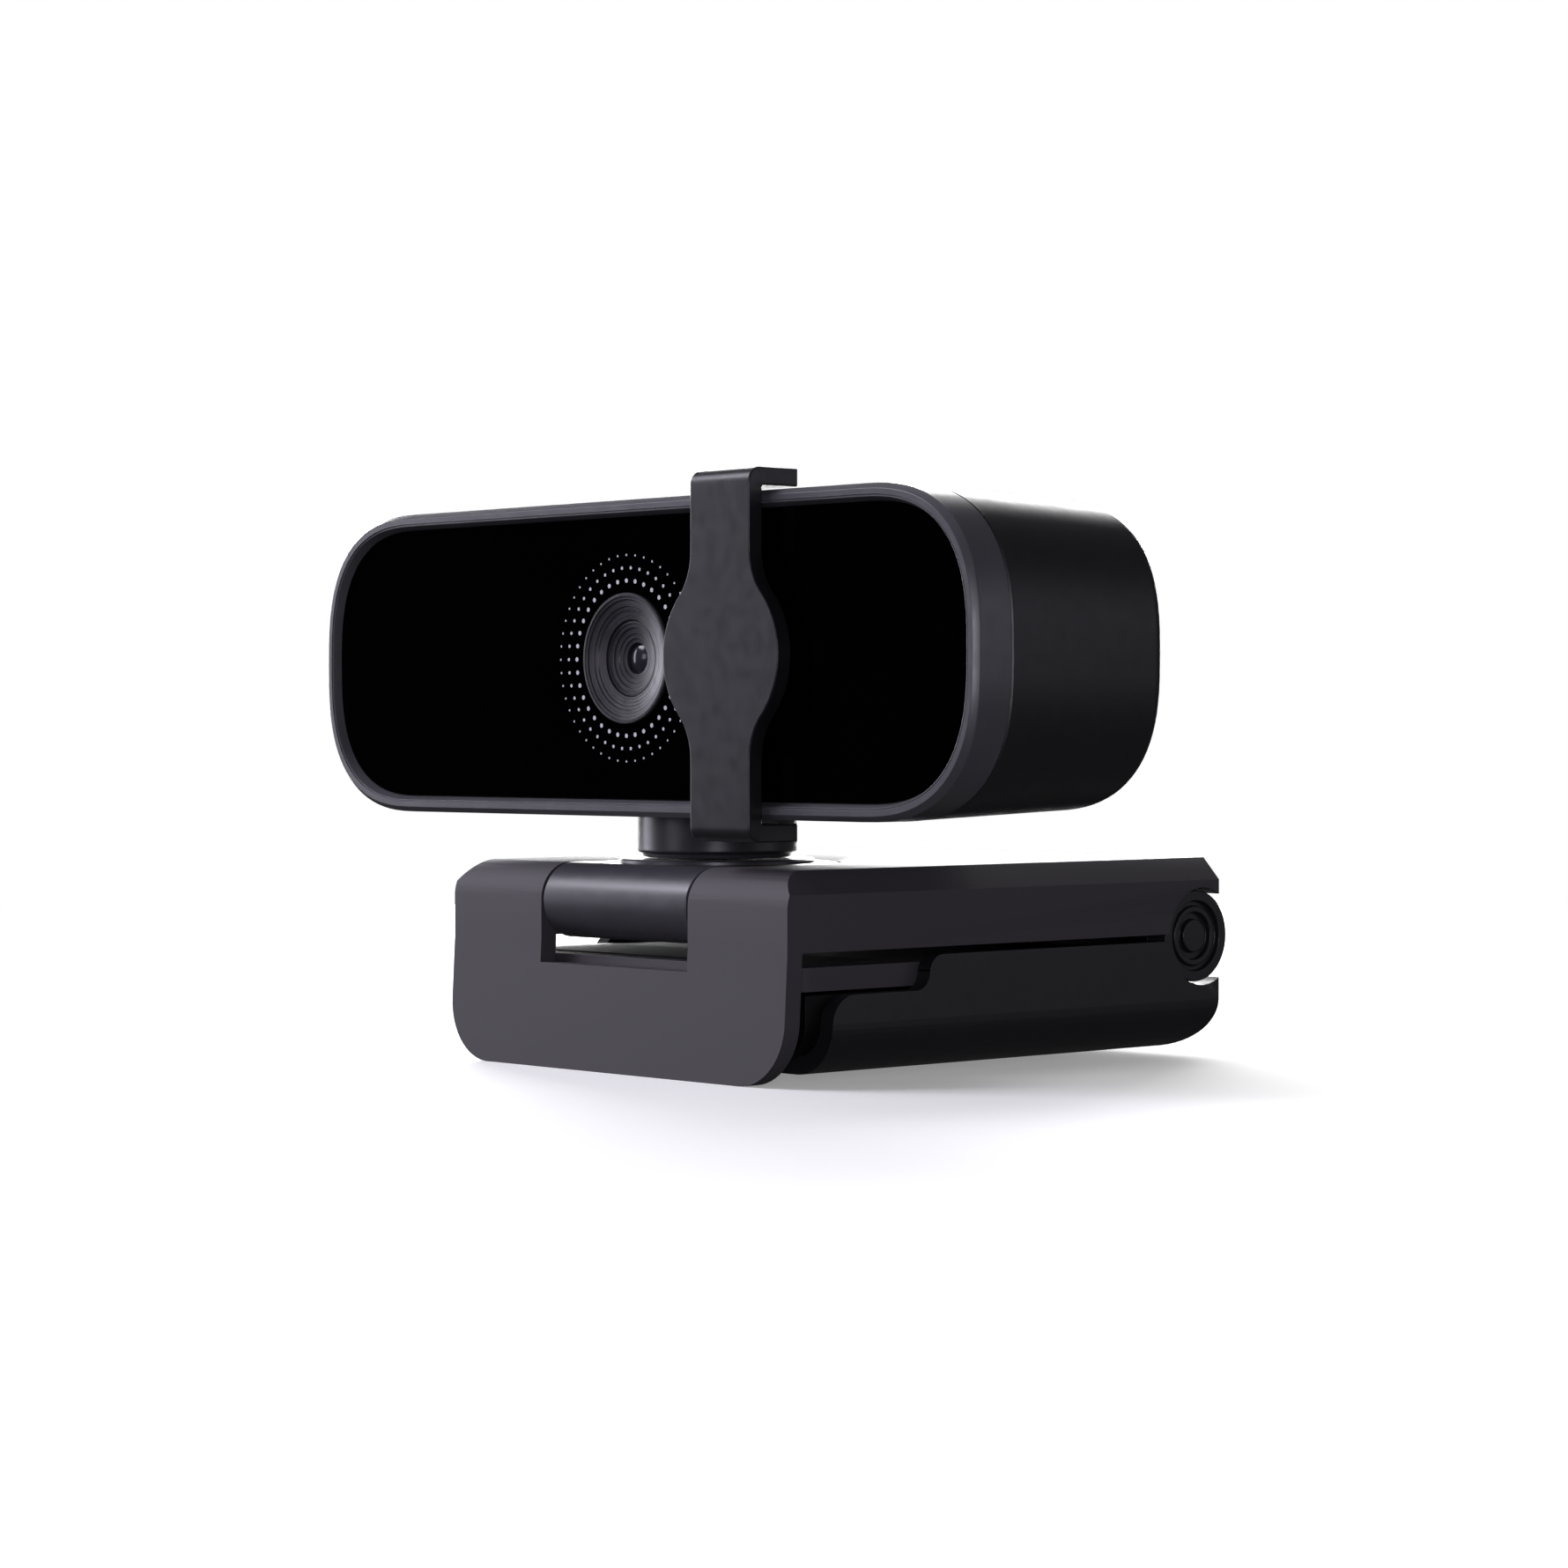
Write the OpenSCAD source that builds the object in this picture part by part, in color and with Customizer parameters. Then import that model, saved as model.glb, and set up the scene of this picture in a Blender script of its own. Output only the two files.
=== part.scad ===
// Webcam on a folding monitor clip. X right, Y back, Z up, millimetres.
// The origin is at the middle of the footprint, level with the lower edge of the front lip.

/* [Head] */
// Width of the head
head_w = 92; // [70:1:110]
// Height of the head
head_h = 29.2; // [25:0.5:36]
// Depth of the head
head_d = 24.6; // [24:0.5:32]
// Corner radius of the head, seen from the front
head_r = 11.4; // [6:0.2:12]
// Wall of the rear shell
shell_wall = 1.6; // [1.2:0.1:2.2]
// Rounding of the shell's back edge
back_round = 1.5; // [1:0.1:6]
// Draft of the shell towards its back
draft = 0.7; // [0:0.1:1.5]
// Depth of the bezel's side band
bezel_d = 4.4; // [3.5:0.1:6]
// Width of the bezel's front rim
rim_w = 1.5; // [1:0.1:2.5]
// Chamfer on the rim's outer edge
rim_chamfer = 0.5; // [0.2:0.1:0.8]
// Depth of the glass behind the rim
glass_recess = 0.8; // [0.4:0.1:1.2]
// Thickness of the front glass
glass_t = 1.1; // [0.8:0.1:1.5]

/* [Lens] */
// Outer radius of the lens surround
surround_r = 6.05; // [5:0.1:7]
// Radius of the threaded lens barrel
barrel_r = 4.4; // [3.5:0.1:4.8]
// Radius of the front lens element
element_r = 3.3; // [2.5:0.1:3.5]

/* [Shutter] */
// Width of the shutter strip
strip_w = 7.9; // [6:0.1:10]
// Thickness of the shutter strip
strip_t = 1.6; // [1:0.1:2]
// Diameter of the shutter's disc
disc_d = 15.4; // [13:0.2:18]
// Radius of the flare from strip to disc
flare_r = 5.8; // [4:0.1:9]
// Gap between shutter and head
strip_gap = 0.4; // [0.3:0.05:0.6]
// Distance from lens to shutter when open
shutter_x = 16; // [14:0.1:20]
// Reach of the shutter's hooks behind the rim
hook_reach = 3.8; // [3:0.1:5]

/* [Neck] */
// Diameter of the neck
neck_d = 15; // [13:0.5:18]
// Free height between clip and head
neck_gap = 4.45; // [4:0.05:8]
// Gap between the neck and the seam of the bezel, seen from the side
neck_set = 0.1; // [0.1:0.1:2]
// Radius of the neck's pivot spigot
spigot_r = 4; // [3:0.1:4.5]

/* [Clip] */
// Width of the clip
clip_w = 47.4; // [40:0.2:60]
// Length of the clip body
clip_l = 57.3; // [50:0.5:75]
// Height of the clip down to the lip's lower edge
clip_h = 19.15; // [18:0.05:26]
// Height of the side skirts
skirt_h = 7.23; // [6.8:0.01:9]
// Thickness of skirts and top
clip_wall = 1.8; // [1.4:0.1:2.4]
// Thickness of the front lip
lip_t = 1.8; // [1.4:0.1:2.4]
// Corner radius of the lip
lip_r = 5.8; // [3:0.1:7]
// Width of the notch in the lip
notch_w = 20.9; // [18:0.1:26]
// Depth of the notch below the top
notch_h = 9.37; // [8.6:0.01:10]
// Rounding of the top front edge
brow_r = 3.5; // [2:0.1:3.5]
// Width of the long top chamfers
edge_w = 2; // [1:0.1:2.5]
// Height of the long top chamfers
edge_h = 2.1; // [1:0.1:3]
// Distance of the head's rim behind the clip's front
head_set = 0.86; // [0:0.02:3]

/* [Tilt leaf] */
// Radius of the leaf's front barrel
leaf_barrel_r = 3.55; // [3:0.05:3.8]
// Thickness of the leaf
leaf_t = 2.2; // [1.8:0.1:2.8]
// Radius of the leaf's round end
leaf_end_r = 11.4; // [10.6:0.1:13]
// Radius of the swivel ring
ring_r = 9.2; // [8.6:0.1:10]
// Radius of the tilt pin
tilt_pin_r = 1.25; // [1:0.05:1.5]

/* [Rear hinge] */
// Radius of the hinge barrel
knuckle_r = 4.45; // [4:0.05:4.8]
// Height of the gap between skirt and arm
fold_gap = 0.7; // [0.5:0.05:1.2]
// Distance of the hinge axis from the clip's back end
hinge_inset = 2.45; // [2:0.05:3]
// Radius of the hinge pin
hinge_pin_r = 1.5; // [1.2:0.1:1.8]
// Half length of the arm's middle knuckle
mid_knuckle = 12.8; // [10:0.1:14]
// Length of each stepped end cap
cap_l = 2.5; // [1.5:0.1:3]
// Depth of the end caps inside the side walls
cap_inset = 0.8; // [0.4:0.1:1.2]

/* [Arm and foot] */
// Height of the arm's underside above the lip's lower edge
arm_z = 0.75; // [0:0.05:1.5]
// Wall of the arm shell
arm_wall = 1.6; // [1.2:0.1:2.2]
// Rounding of the arm's lower edges
arm_r = 4.7; // [3:0.1:5]
// Distance of the arm's front behind the clip's front
arm_front = 5.5; // [4.5:0.1:8]
// Distance of the arm's tall side walls behind the clip's front
arm_step = 17.6; // [14:0.1:22]
// Thickness of the foot
foot_t = 2.15; // [1.6:0.05:2.6]
// Gap between the foot and the top of the arm's walls
foot_drop = 0.75; // [0.5:0.05:1]
// Length of the foot from its pin to its free end
foot_l = 36; // [34.5:0.5:38]
// Radius of the foot's pin
foot_pin_r = 0.9; // [0.7:0.05:1]
// Wall radius of the tripod socket
socket_r = 3.175; // [3.175]
// Depth of the tripod socket
socket_l = 5; // [4:0.1:5.5]

/* [Fits] */
// Running clearance of pins and spigots, on the radius
run = 0.05; // [0.02:0.01:0.1]
// Gap between parts that move past each other
gap = 0.3; // [0.3:0.05:0.45]
// Gap between fixed parts that sit in a pocket
seat = 0.05; // [0.02:0.01:0.1]

/* [Hidden] */
$fn = 64;
EPS = 0.01;

// Footprint and main places
depth = strip_t + strip_gap + clip_l - head_set - hinge_inset + knuckle_r;
rim_y = -depth / 2 + strip_t + strip_gap;
front_y = rim_y - head_set;
back_y = front_y + clip_l;
neck_y = rim_y + bezel_d + neck_set + neck_d / 2;
head_z = clip_h + neck_gap;
lens_z = head_z + head_h / 2;
head_back_y = rim_y + head_d;
tilt_y = front_y + leaf_barrel_r;
tilt_z = clip_h - leaf_barrel_r;
skirt_z = clip_h - skirt_h;
arm_top = skirt_z - fold_gap;
hinge_y = back_y - hinge_inset;
hinge_z = skirt_z - fold_gap / 2;
lip_lean = 0.62;

// Screws
screw_r = 0.8;
screw_head_r = 1.5;
screw_head_h = 0.9;

// Head
seam_y = rim_y + bezel_d;
glass_y = rim_y + glass_recess;
tape_t = 0.3;
tape_w = 1.4;
lug_t = 2;
lug_r = 2.6;
shell_screw_edge = 5;
shell_screw_x = head_w / 2 - max(back_round, shell_screw_edge) - draft - screw_head_r - 0.3;
shell_screw_sink = 9;
frame_w = rim_w + 1.6;
frame_y = glass_y + glass_t + tape_t;
board_y = seam_y + 5;
board_t = 1.2;
board_w = head_w - 2 * (shell_wall + 9);
board_h = head_h - 2 * (shell_wall + 4.4);
board_hole_x = board_w / 2 - 3.2;
post_r = 2.2;
plate_y = board_y + board_t + 1.5;
plate_t = 1;
plate_half_w = 11;
plate_edge = 1;
plate_hole_x = 8.5;
chip_half = 4;
chip_t = 1;
plug_x = 14;
plug_w = 4;
plug_half_h = 4;
plug_t = 3.2;
port_r = 0.5;
boot_wall = 0.8;
mic_set = 0.5;
hole_play = 0.2;
board_screw_in = 2.6;
board_screw_l = 4;
mic_x = head_w * 0.27;
mic_r = 2;
gland_r = 3.2;
gland_bore_r = 1.9;
gland_lip = 0.8;
gland_out = 0.2;

// Lens stack
mouth_y = glass_y;
cone_d = 1.1;
cone_edge = 0.35;
cone_floor = 0.4;
surround_d = 2.2;
barrel_y = mouth_y + cone_d;
holder_y = mouth_y + surround_d + 1;
element_y = mouth_y + 1.9;
element_t = 1.2;
element_dome_r = 9;
rear_element_t = 1;
filter_t = 0.3;
filter_y = board_y - 2.1;
sensor_t = 0.9;
sensor_y = board_y - sensor_t - seat;
sensor_half_w = 3.4;
sensor_half_h = 3;
sensor_room = 0.4;
rear_element_r = element_r - 0.65;
rear_element_gap = 0.4;
filter_r = 2.4;
filter_hole_r = 2;
holder_wall = 1.2;
holder_base_t = 2;
holder_half_w = 6.4;
holder_half_h = 4.4;
barrel_end = filter_y - 0.6;
barrel_wall = 0.6;
retainer_set = 0.3;
retainer_wall = 0.3;
retainer_floor = 1;

// Shutter
strip_front = rim_y - strip_gap - strip_t;
strip_half = head_h / 2 + strip_gap + strip_t;
bend_r = 1.3;
flare_x = strip_w / 2 + flare_r;
flare_z = sqrt(pow(disc_d / 2 + flare_r, 2) - pow(flare_x, 2));
flare_share = disc_d / (disc_d + 2 * flare_r);

// Neck, leaf and pan pivot
flange_t = 1.6;
flange_back = 5.5;
neck_screw_out = 2.2;
neck_screw_x = neck_d / 2 + neck_screw_out;
flange_r = neck_screw_x + 2.3;
neck_screw_l = 1.4;
neck_top = head_z + shell_wall + draft;
ring_t = 0.5;
pivot_drop = 1.1;
washer_r = 5.2;
washer_t = 0.5;
swivel_head_t = 1.2;
swivel_head_w = 1.2;
swivel_screw_l = 3.2;
swivel_hole = 3.6;
ring_play = 0.1;
swing_out = leaf_t / 2;
leaf_under = clip_h - leaf_t;
leaf_half = notch_w / 2 - gap;
well_r = washer_r + 0.8;
ledge_t = 1.1;
ledge_w = 3;
cheek_t = 3.6;
cheek_x = (notch_w + cheek_t) / 2;
tilt_pin_half = notch_w / 2 + 3;
top_t = leaf_t + seat + ledge_t;
sleeve_t = 0.5;
tilt_sleeve_half = leaf_half * 0.45;

// Clip inside
half_w = clip_w / 2;
clear_r = knuckle_r + gap;
cover_t = 1.2;
cover_z = skirt_z + 0.25;
pad_t = 0.7;
boss_r = 2.3;
boss_x = clip_w / 2 - clip_wall - boss_r - 1.2;
boss_front = front_y + 24;
boss_back = hinge_y - knuckle_r - gap - boss_r - 2.6;
jaw_pad_half = boss_x - boss_r - 1;
jaw_pad_ahead = 4;
jaw_pad_behind = 2;
cover_screw_l = 3;
cover_screw_drop = 0.2;
cover_front = front_y + 2 * leaf_barrel_r + 1.4;
rear_block = hinge_y - clear_r - 1.6;
cover_back = rear_block - seat;
lip_pad_z = 2.2;
lip_pad_drop = 1.6;

// Rear hinge. Cap steps: outer radius, inner radius and depth of each ring groove
back_drop = 3;
back_open = 12.3;
knuckle_foot = 1.25;
knuckle_neck = 1.2;
cap_steps = [[3.4, 2.9, 0.6], [2.3, 1.6, 0.8]];
cap_face = 0.2;
cap_out = half_w - cap_inset;
cap_in = cap_out - cap_l;
web_z = clip_h - back_drop;
arm_back_z = clip_h - back_open;
pin_half = cap_out - 1;
sleeve_half = mid_knuckle * 0.7;

// Arm and foot
foot_top = arm_top - foot_drop;
foot_z = foot_top - foot_t;
foot_half = half_w - arm_wall - gap;
foot_front = front_y + lip_t + 0.9;
foot_pin_y = foot_front + foot_l;
foot_pin_z = foot_z + 0.1;
foot_lug_r = 2;
foot_swing = foot_top - foot_pin_z + gap;
core_block = foot_pin_y + foot_swing + gap;
foot_lug_half = 7;
core_top = foot_z - gap;
core_back = hinge_y - clear_r - 0.9;
core_front = arm_front - 1.8;
core_half = half_w - arm_wall - seat;
well_front = front_y + arm_step;
socket_y = front_y + clip_l / 2;
socket_sink = 0.2;
insert_top = arm_z + socket_sink + socket_l + 1;
insert_r = 5.4;
insert_flange_r = 7;
insert_flange_t = 1.2;
arm_floor = arm_z + arm_wall;
arm_screw_x = half_w - arm_wall - 5;
arm_screw_front = front_y + 12;
arm_screw_back = core_back - 4;
bump_r = 1.7;
nose_r = 2.7;
arm_screw_l = 4.2;
foot_r = 2;
pad_in = 3;
pad_l = 11;
pad_sink = 0.5;
pad_out = 0.1;
foot_pin_in = 4;

// ---- shared shapes ----

// Rounded rectangle about the origin, true arcs
module round_rect(w, h, r) {
    square([w - 2 * r, h], center = true);
    square([w, h - 2 * r], center = true);
    for (x = [-1, 1], z = [-1, 1])
        translate([x * (w / 2 - r), z * (h / 2 - r)])
            circle(r);
}

// Slab of the head's outline, shrunk by inset, from y over t towards the back
module head_slab(y, t, inset) {
    translate([0, y + t, lens_z])
        rotate([90, 0, 0])
            linear_extrude(t)
                round_rect(head_w - 2 * inset, head_h - 2 * inset, max(head_r - inset, 1));
}

// Cylinder along Y from y over l towards the back
module y_rod(r, y, l, x = 0, z = lens_z) {
    translate([x, y + l, z])
        rotate([90, 0, 0])
            cylinder(r = r, h = l);
}

// Cone along Y, radius r1 at y, r2 at the back
module y_cone(r1, r2, y, l) {
    translate([0, y, lens_z])
        rotate([-90, 0, 0])
            cylinder(r1 = r1, r2 = r2, h = l);
}

// Cylinder along X from x0 to x1
module x_rod(r, x0, x1, y, z) {
    translate([x0, y, z])
        rotate([0, 90, 0])
            cylinder(r = r, h = x1 - x0);
}

// Cylinder along Z from z0 to z1
module z_rod(r, z0, z1, x = 0, y = 0) {
    translate([x, y, z0])
        cylinder(r = r, h = z1 - z0);
}

// Box from one corner to the opposite one
module span(a, b) {
    translate(a)
        cube(b - a);
}

// A side outline in Y and Z, drawn out along X from x0 to x1
module along_x(x0, x1) {
    translate([x0, 0, 0])
        rotate([90, 0, 90])
            linear_extrude(x1 - x0)
                children();
}

// A front outline in X and Z, drawn out along Y from y0 to y1
module along_y(y0, y1) {
    translate([0, y1, 0])
        rotate([90, 0, 0])
            linear_extrude(y1 - y0)
                children();
}

// Screw with its head down, thread upwards from z by l
module screw_up(x, y, z, l) {
    z_rod(screw_head_r, z, z + screw_head_h, x, y);
    z_rod(screw_r, z, z + screw_head_h + l, x, y);
}

// ---- head ----

module front_bezel() {
    color("#4a4a4f")
        difference() {
            union() {
                difference() {
                    hull() {
                        head_slab(rim_y, 0.05, rim_chamfer);
                        head_slab(rim_y + rim_chamfer, bezel_d - rim_chamfer, 0);
                    }
                    head_slab(rim_y - 1, glass_recess + glass_t + tape_t + 1, rim_w);
                    head_slab(rim_y, bezel_d + 1, frame_w);
                }
                bezel_lugs();
            }
            for (x = [-1, 1])
                y_rod(screw_r, seam_y - lug_t, lug_t + 1, x * shell_screw_x);
        }
}

// Lugs inside the bezel that take the shell's screws
module bezel_lugs() {
    for (x = [-1, 1])
        intersection() {
            union() {
                y_rod(lug_r, seam_y - lug_t, lug_t, x * shell_screw_x);
                translate([x * (shell_screw_x + lug_r), seam_y - lug_t / 2, lens_z])
                    cube([2 * lug_r, lug_t, 2 * lug_r], center = true);
            }
            head_slab(rim_y, bezel_d, rim_w);
        }
}

module front_glass() {
    color("#050506")
        difference() {
            head_slab(glass_y, glass_t, rim_w + seat);
            y_rod(surround_r + seat, glass_y - 1, glass_t + 2);
            for (x = [-1, 1])
                y_rod(port_r, glass_y - 1, glass_t + 2, x * mic_x);
        }
}

module glass_tape() {
    color("#151515")
        difference() {
            head_slab(glass_y + glass_t, tape_t, rim_w + seat);
            head_slab(glass_y, glass_t + 1, rim_w + tape_w);
        }
}

module lens_surround() {
    color("#2d2d31")
        difference() {
            y_rod(surround_r, mouth_y, surround_d);
            y_cone(surround_r - cone_edge, barrel_r + cone_floor, mouth_y - EPS, cone_d + EPS);
            y_rod(barrel_r + run, mouth_y, surround_d + 1);
        }
}

module lens_barrel() {
    color("#1c1c20")
        difference() {
            y_rod(barrel_r, barrel_y, barrel_end - barrel_y);
            y_rod(element_r + seat, barrel_y - 1, element_y + element_t + 1 - barrel_y);
            y_rod(element_r - barrel_wall, barrel_y, filter_y - barrel_y);
        }
}

module lens_retainer() {
    color("#38383d")
        difference() {
            y_rod(element_r, barrel_y + retainer_set, element_y - barrel_y - retainer_set - seat);
            y_cone(element_r - retainer_wall, element_r - retainer_floor, barrel_y, element_y - barrel_y);
        }
}

// Glass disc with a domed front, its crown at y
module dome_lens(r, t, dome_r, y) {
    translate([0, y + t, lens_z])
        rotate([90, 0, 0])
            rotate_extrude()
                intersection() {
                    square([r, t]);
                    translate([0, t - dome_r])
                        circle(dome_r);
                }
}

module lens_front_element() {
    color("#20203a")
        dome_lens(element_r, element_t, element_dome_r, element_y);
}

module lens_rear_element() {
    color("#303040")
        y_rod(rear_element_r, element_y + element_t + rear_element_gap, rear_element_t);
}

module infrared_filter() {
    color("#803040")
        y_rod(filter_r, filter_y, filter_t);
}

module lens_holder() {
    color("#1a1a1c")
        difference() {
            union() {
                y_rod(barrel_r + holder_wall, holder_y, board_y - seat - holder_y);
                span([-holder_half_w, board_y - holder_base_t, lens_z - holder_half_h],
                     [holder_half_w, board_y - seat, lens_z + holder_half_h]);
            }
            y_rod(barrel_r + run, holder_y - 1, barrel_end + gap - holder_y + 1);
            y_rod(filter_hole_r, filter_y - 1, 2);
            y_rod(filter_r + seat, filter_y - EPS, board_y - filter_y);
            span([-sensor_half_w - sensor_room, sensor_y - sensor_room,
                  lens_z - sensor_half_h - sensor_room],
                 [sensor_half_w + sensor_room, board_y, lens_z + sensor_half_h + sensor_room]);
        }
}

module image_sensor() {
    color("#30405a")
        span([-sensor_half_w, sensor_y, lens_z - sensor_half_h],
             [sensor_half_w, board_y - seat, lens_z + sensor_half_h]);
}

module main_board() {
    color("#14402a")
        difference() {
            span([-board_w / 2, board_y, lens_z - board_h / 2],
                 [board_w / 2, board_y + board_t, lens_z + board_h / 2]);
            for (x = [-1, 1], z = [-1, 1])
                y_rod(screw_r + hole_play, board_y - 1, board_t + 2, x * board_hole_x, board_screw_z(z));
        }
}

function board_screw_z(z) = lens_z + z * (board_h / 2 - board_screw_in);

module video_chip() {
    color("#202022")
        span([-chip_half, board_y + board_t, lens_z - chip_half],
             [chip_half, board_y + board_t + chip_t, lens_z + chip_half]);
}

module cable_connector() {
    color("#e8e4d8")
        span([plug_x, board_y + board_t, lens_z - plug_half_h],
             [plug_x + plug_w, board_y + board_t + plug_t, lens_z + plug_half_h]);
}

module microphones() {
    color("#b0b0b4")
        for (x = [-1, 1])
            y_rod(mic_r, frame_y + mic_set, board_y - seat - frame_y - mic_set, x * mic_x);
}

module microphone_boots() {
    color("#101010")
        for (x = [-1, 1])
            difference() {
                y_rod(mic_r + boot_wall, glass_y + glass_t + seat, board_y - glass_y - glass_t - 2 * seat,
                      x * mic_x);
                y_rod(port_r, glass_y, glass_t + 3, x * mic_x);
                y_rod(mic_r + EPS, frame_y + mic_set - EPS, board_y - frame_y, x * mic_x);
            }
}

module heat_plate() {
    color("#9a9aa0")
        difference() {
            span([-plate_half_w, plate_y, lens_z - board_h / 2 + plate_edge],
                 [plate_half_w, plate_y + plate_t, lens_z + board_h / 2 - plate_edge]);
            for (x = [-1, 1])
                y_rod(screw_r + hole_play, plate_y - 1, plate_t + 2, x * plate_hole_x);
        }
}

module board_screws() {
    color("#77777c")
        for (x = [-1, 1], z = [-1, 1]) {
            y_rod(screw_head_r, board_y - screw_head_h - EPS, screw_head_h,
                  x * board_hole_x, board_screw_z(z));
            y_rod(screw_r, board_y - screw_head_h - EPS, board_t + screw_head_h + board_screw_l,
                  x * board_hole_x, board_screw_z(z));
        }
}

// Slabs that a smooth skin joins: from the seam to the rounded back edge
module shell_skin(inset, y0, y1) {
    r = max(back_round - inset, 0.6);
    hull() {
        head_slab(y0, 0.05, inset);
        for (a = [0 : 22.5 : 90])
            head_slab(y1 - r + r * sin(a) - 0.05, 0.05, inset + draft + r * (1 - cos(a)));
    }
}

module rear_shell() {
    inner_back = head_back_y - shell_wall;
    color("#1e1d21") {
        difference() {
            shell_skin(0, seam_y, head_back_y);
            shell_skin(shell_wall, seam_y - 1, inner_back);
            y_rod(gland_r, inner_back - 2, shell_wall + 4);
            z_rod(neck_d / 2 + seat, head_z - 1, neck_top + 3, 0, neck_y);
            for (x = [-1, 1]) {
                y_rod(screw_head_r + hole_play, seam_y, head_d, x * shell_screw_x);
                z_rod(screw_r, neck_top - neck_screw_l, neck_top + 1, x * neck_screw_x, neck_y);
            }
        }
        for (x = [-1, 1]) {
            for (z = [-1, 1])
                difference() {
                    y_rod(post_r, board_y + board_t + seat, inner_back - board_y - board_t,
                          x * board_hole_x, board_screw_z(z));
                    y_rod(screw_r, board_y, board_t + board_screw_l + 0.8,
                          x * board_hole_x, board_screw_z(z));
                }
            difference() {
                y_rod(lug_r, seam_y + seat, inner_back - seam_y, x * shell_screw_x);
                y_rod(screw_r + 0.1, seam_y, head_d, x * shell_screw_x);
                y_rod(screw_head_r + hole_play, seam_y + shell_screw_sink, head_d, x * shell_screw_x);
            }
        }
    }
}

module shell_screws() {
    color("#2a2a2e")
        for (x = [-1, 1]) {
            y_rod(screw_head_r, seam_y + shell_screw_sink, screw_head_h, x * shell_screw_x);
            y_rod(screw_r, seam_y - lug_t + seat, lug_t + shell_screw_sink, x * shell_screw_x);
        }
}

module cable_gland() {
    color("#161618")
        difference() {
            union() {
                y_rod(gland_r - seat, head_back_y - shell_wall - gland_lip,
                      shell_wall + gland_lip + gland_out);
                y_rod(gland_r + gland_lip, head_back_y - shell_wall - 2 * gland_lip, 2 * gland_lip - seat);
            }
            y_rod(gland_bore_r, head_back_y - 6, 9);
        }
}

// ---- shutter ----

// Disc and the flares that lead from it into the strip
module shutter_face() {
    circle(d = disc_d);
    difference() {
        square([2 * flare_x * flare_share, 2 * flare_z], center = true);
        for (x = [-1, 1], z = [-1, 1])
            translate([x * flare_x, z * flare_z])
                circle(flare_r);
    }
}

// Side outline of the strip with its two hooks
module hook_outline() {
    back = rim_y + hook_reach;
    inner = head_h / 2 + strip_gap;
    difference() {
        union() {
            translate([strip_front + bend_r, lens_z - strip_half])
                square([back - strip_front - bend_r, 2 * strip_half]);
            translate([strip_front, lens_z - strip_half + bend_r])
                square([back - strip_front, 2 * (strip_half - bend_r)]);
            for (z = [-1, 1])
                translate([strip_front + bend_r, lens_z + z * (strip_half - bend_r)])
                    circle(bend_r);
        }
        translate([strip_front + strip_t, lens_z - inner])
            square([head_d, 2 * inner]);
    }
}

module shutter() {
    color("#36353a")
        translate([shutter_x, 0, 0]) {
            along_x(-strip_w / 2, strip_w / 2)
                hook_outline();
            translate([0, strip_front + strip_t, lens_z])
                rotate([90, 0, 0])
                    linear_extrude(strip_t)
                        shutter_face();
        }
}

// ---- neck and pan pivot ----

module neck() {
    color("#2b2a2e")
        difference() {
            union() {
                z_rod(neck_d / 2, clip_h + ring_t, neck_top + flange_t, 0, neck_y);
                intersection() {
                    z_rod(flange_r, neck_top, neck_top + flange_t, 0, neck_y);
                    span([-flange_r, neck_y - flange_back, neck_top],
                         [flange_r, neck_y + flange_back, head_z + head_h]);
                }
                z_rod(spigot_r, leaf_under - washer_t - pivot_drop, neck_top, 0, neck_y);
            }
            z_rod(screw_r, leaf_under - 3, leaf_under + swivel_hole, 0, neck_y);
            for (x = [-1, 1])
                z_rod(screw_r + 0.1, neck_top - 1, neck_top + 4, x * neck_screw_x, neck_y);
        }
}

module neck_screws() {
    top = neck_top + flange_t;
    color("#77777c")
        for (x = [-1, 1]) {
            z_rod(screw_head_r, top, top + screw_head_h, x * neck_screw_x, neck_y);
            z_rod(screw_r, neck_top - neck_screw_l + seat, top + EPS, x * neck_screw_x, neck_y);
        }
}

module swivel_ring() {
    color("#232327")
        difference() {
            z_rod(ring_r, clip_h, clip_h + ring_t - ring_play, 0, neck_y);
            z_rod(spigot_r + gap, clip_h - 1, clip_h + 1, 0, neck_y);
        }
}

module swivel_spring() {
    color("#8d8d92")
        difference() {
            z_rod(washer_r, leaf_under - washer_t - ring_play, leaf_under - ring_play, 0, neck_y);
            z_rod(spigot_r, leaf_under - 3, leaf_under + 1, 0, neck_y);
        }
}

module swivel_screw() {
    color("#77777c") {
        bottom = leaf_under - washer_t - pivot_drop;
        z_rod(spigot_r + swivel_head_w, bottom - swivel_head_t, bottom, 0, neck_y);
        z_rod(screw_r, bottom - EPS, bottom + swivel_screw_l, 0, neck_y);
    }
}

// ---- tilt leaf ----

module leaf_outline(grow) {
    translate([-leaf_half - grow, tilt_y])
        square([2 * (leaf_half + grow), neck_y - tilt_y]);
    translate([0, neck_y])
        circle(leaf_end_r + grow);
}

module tilt_leaf() {
    color("#38373b")
        difference() {
            union() {
                x_rod(leaf_barrel_r, -leaf_half, leaf_half, tilt_y, tilt_z);
                translate([0, 0, leaf_under])
                    linear_extrude(leaf_t)
                        intersection() {
                            leaf_outline(0);
                            translate([-clip_w / 2, tilt_y])
                                square([clip_w, clip_l]);
                        }
            }
            x_rod(tilt_pin_r + run, -clip_w, clip_w, tilt_y, tilt_z);
            x_rod(tilt_pin_r + sleeve_t, -tilt_sleeve_half, tilt_sleeve_half, tilt_y, tilt_z);
            z_rod(spigot_r + run, leaf_under - 1, clip_h + 1, 0, neck_y);
        }
}

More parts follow.
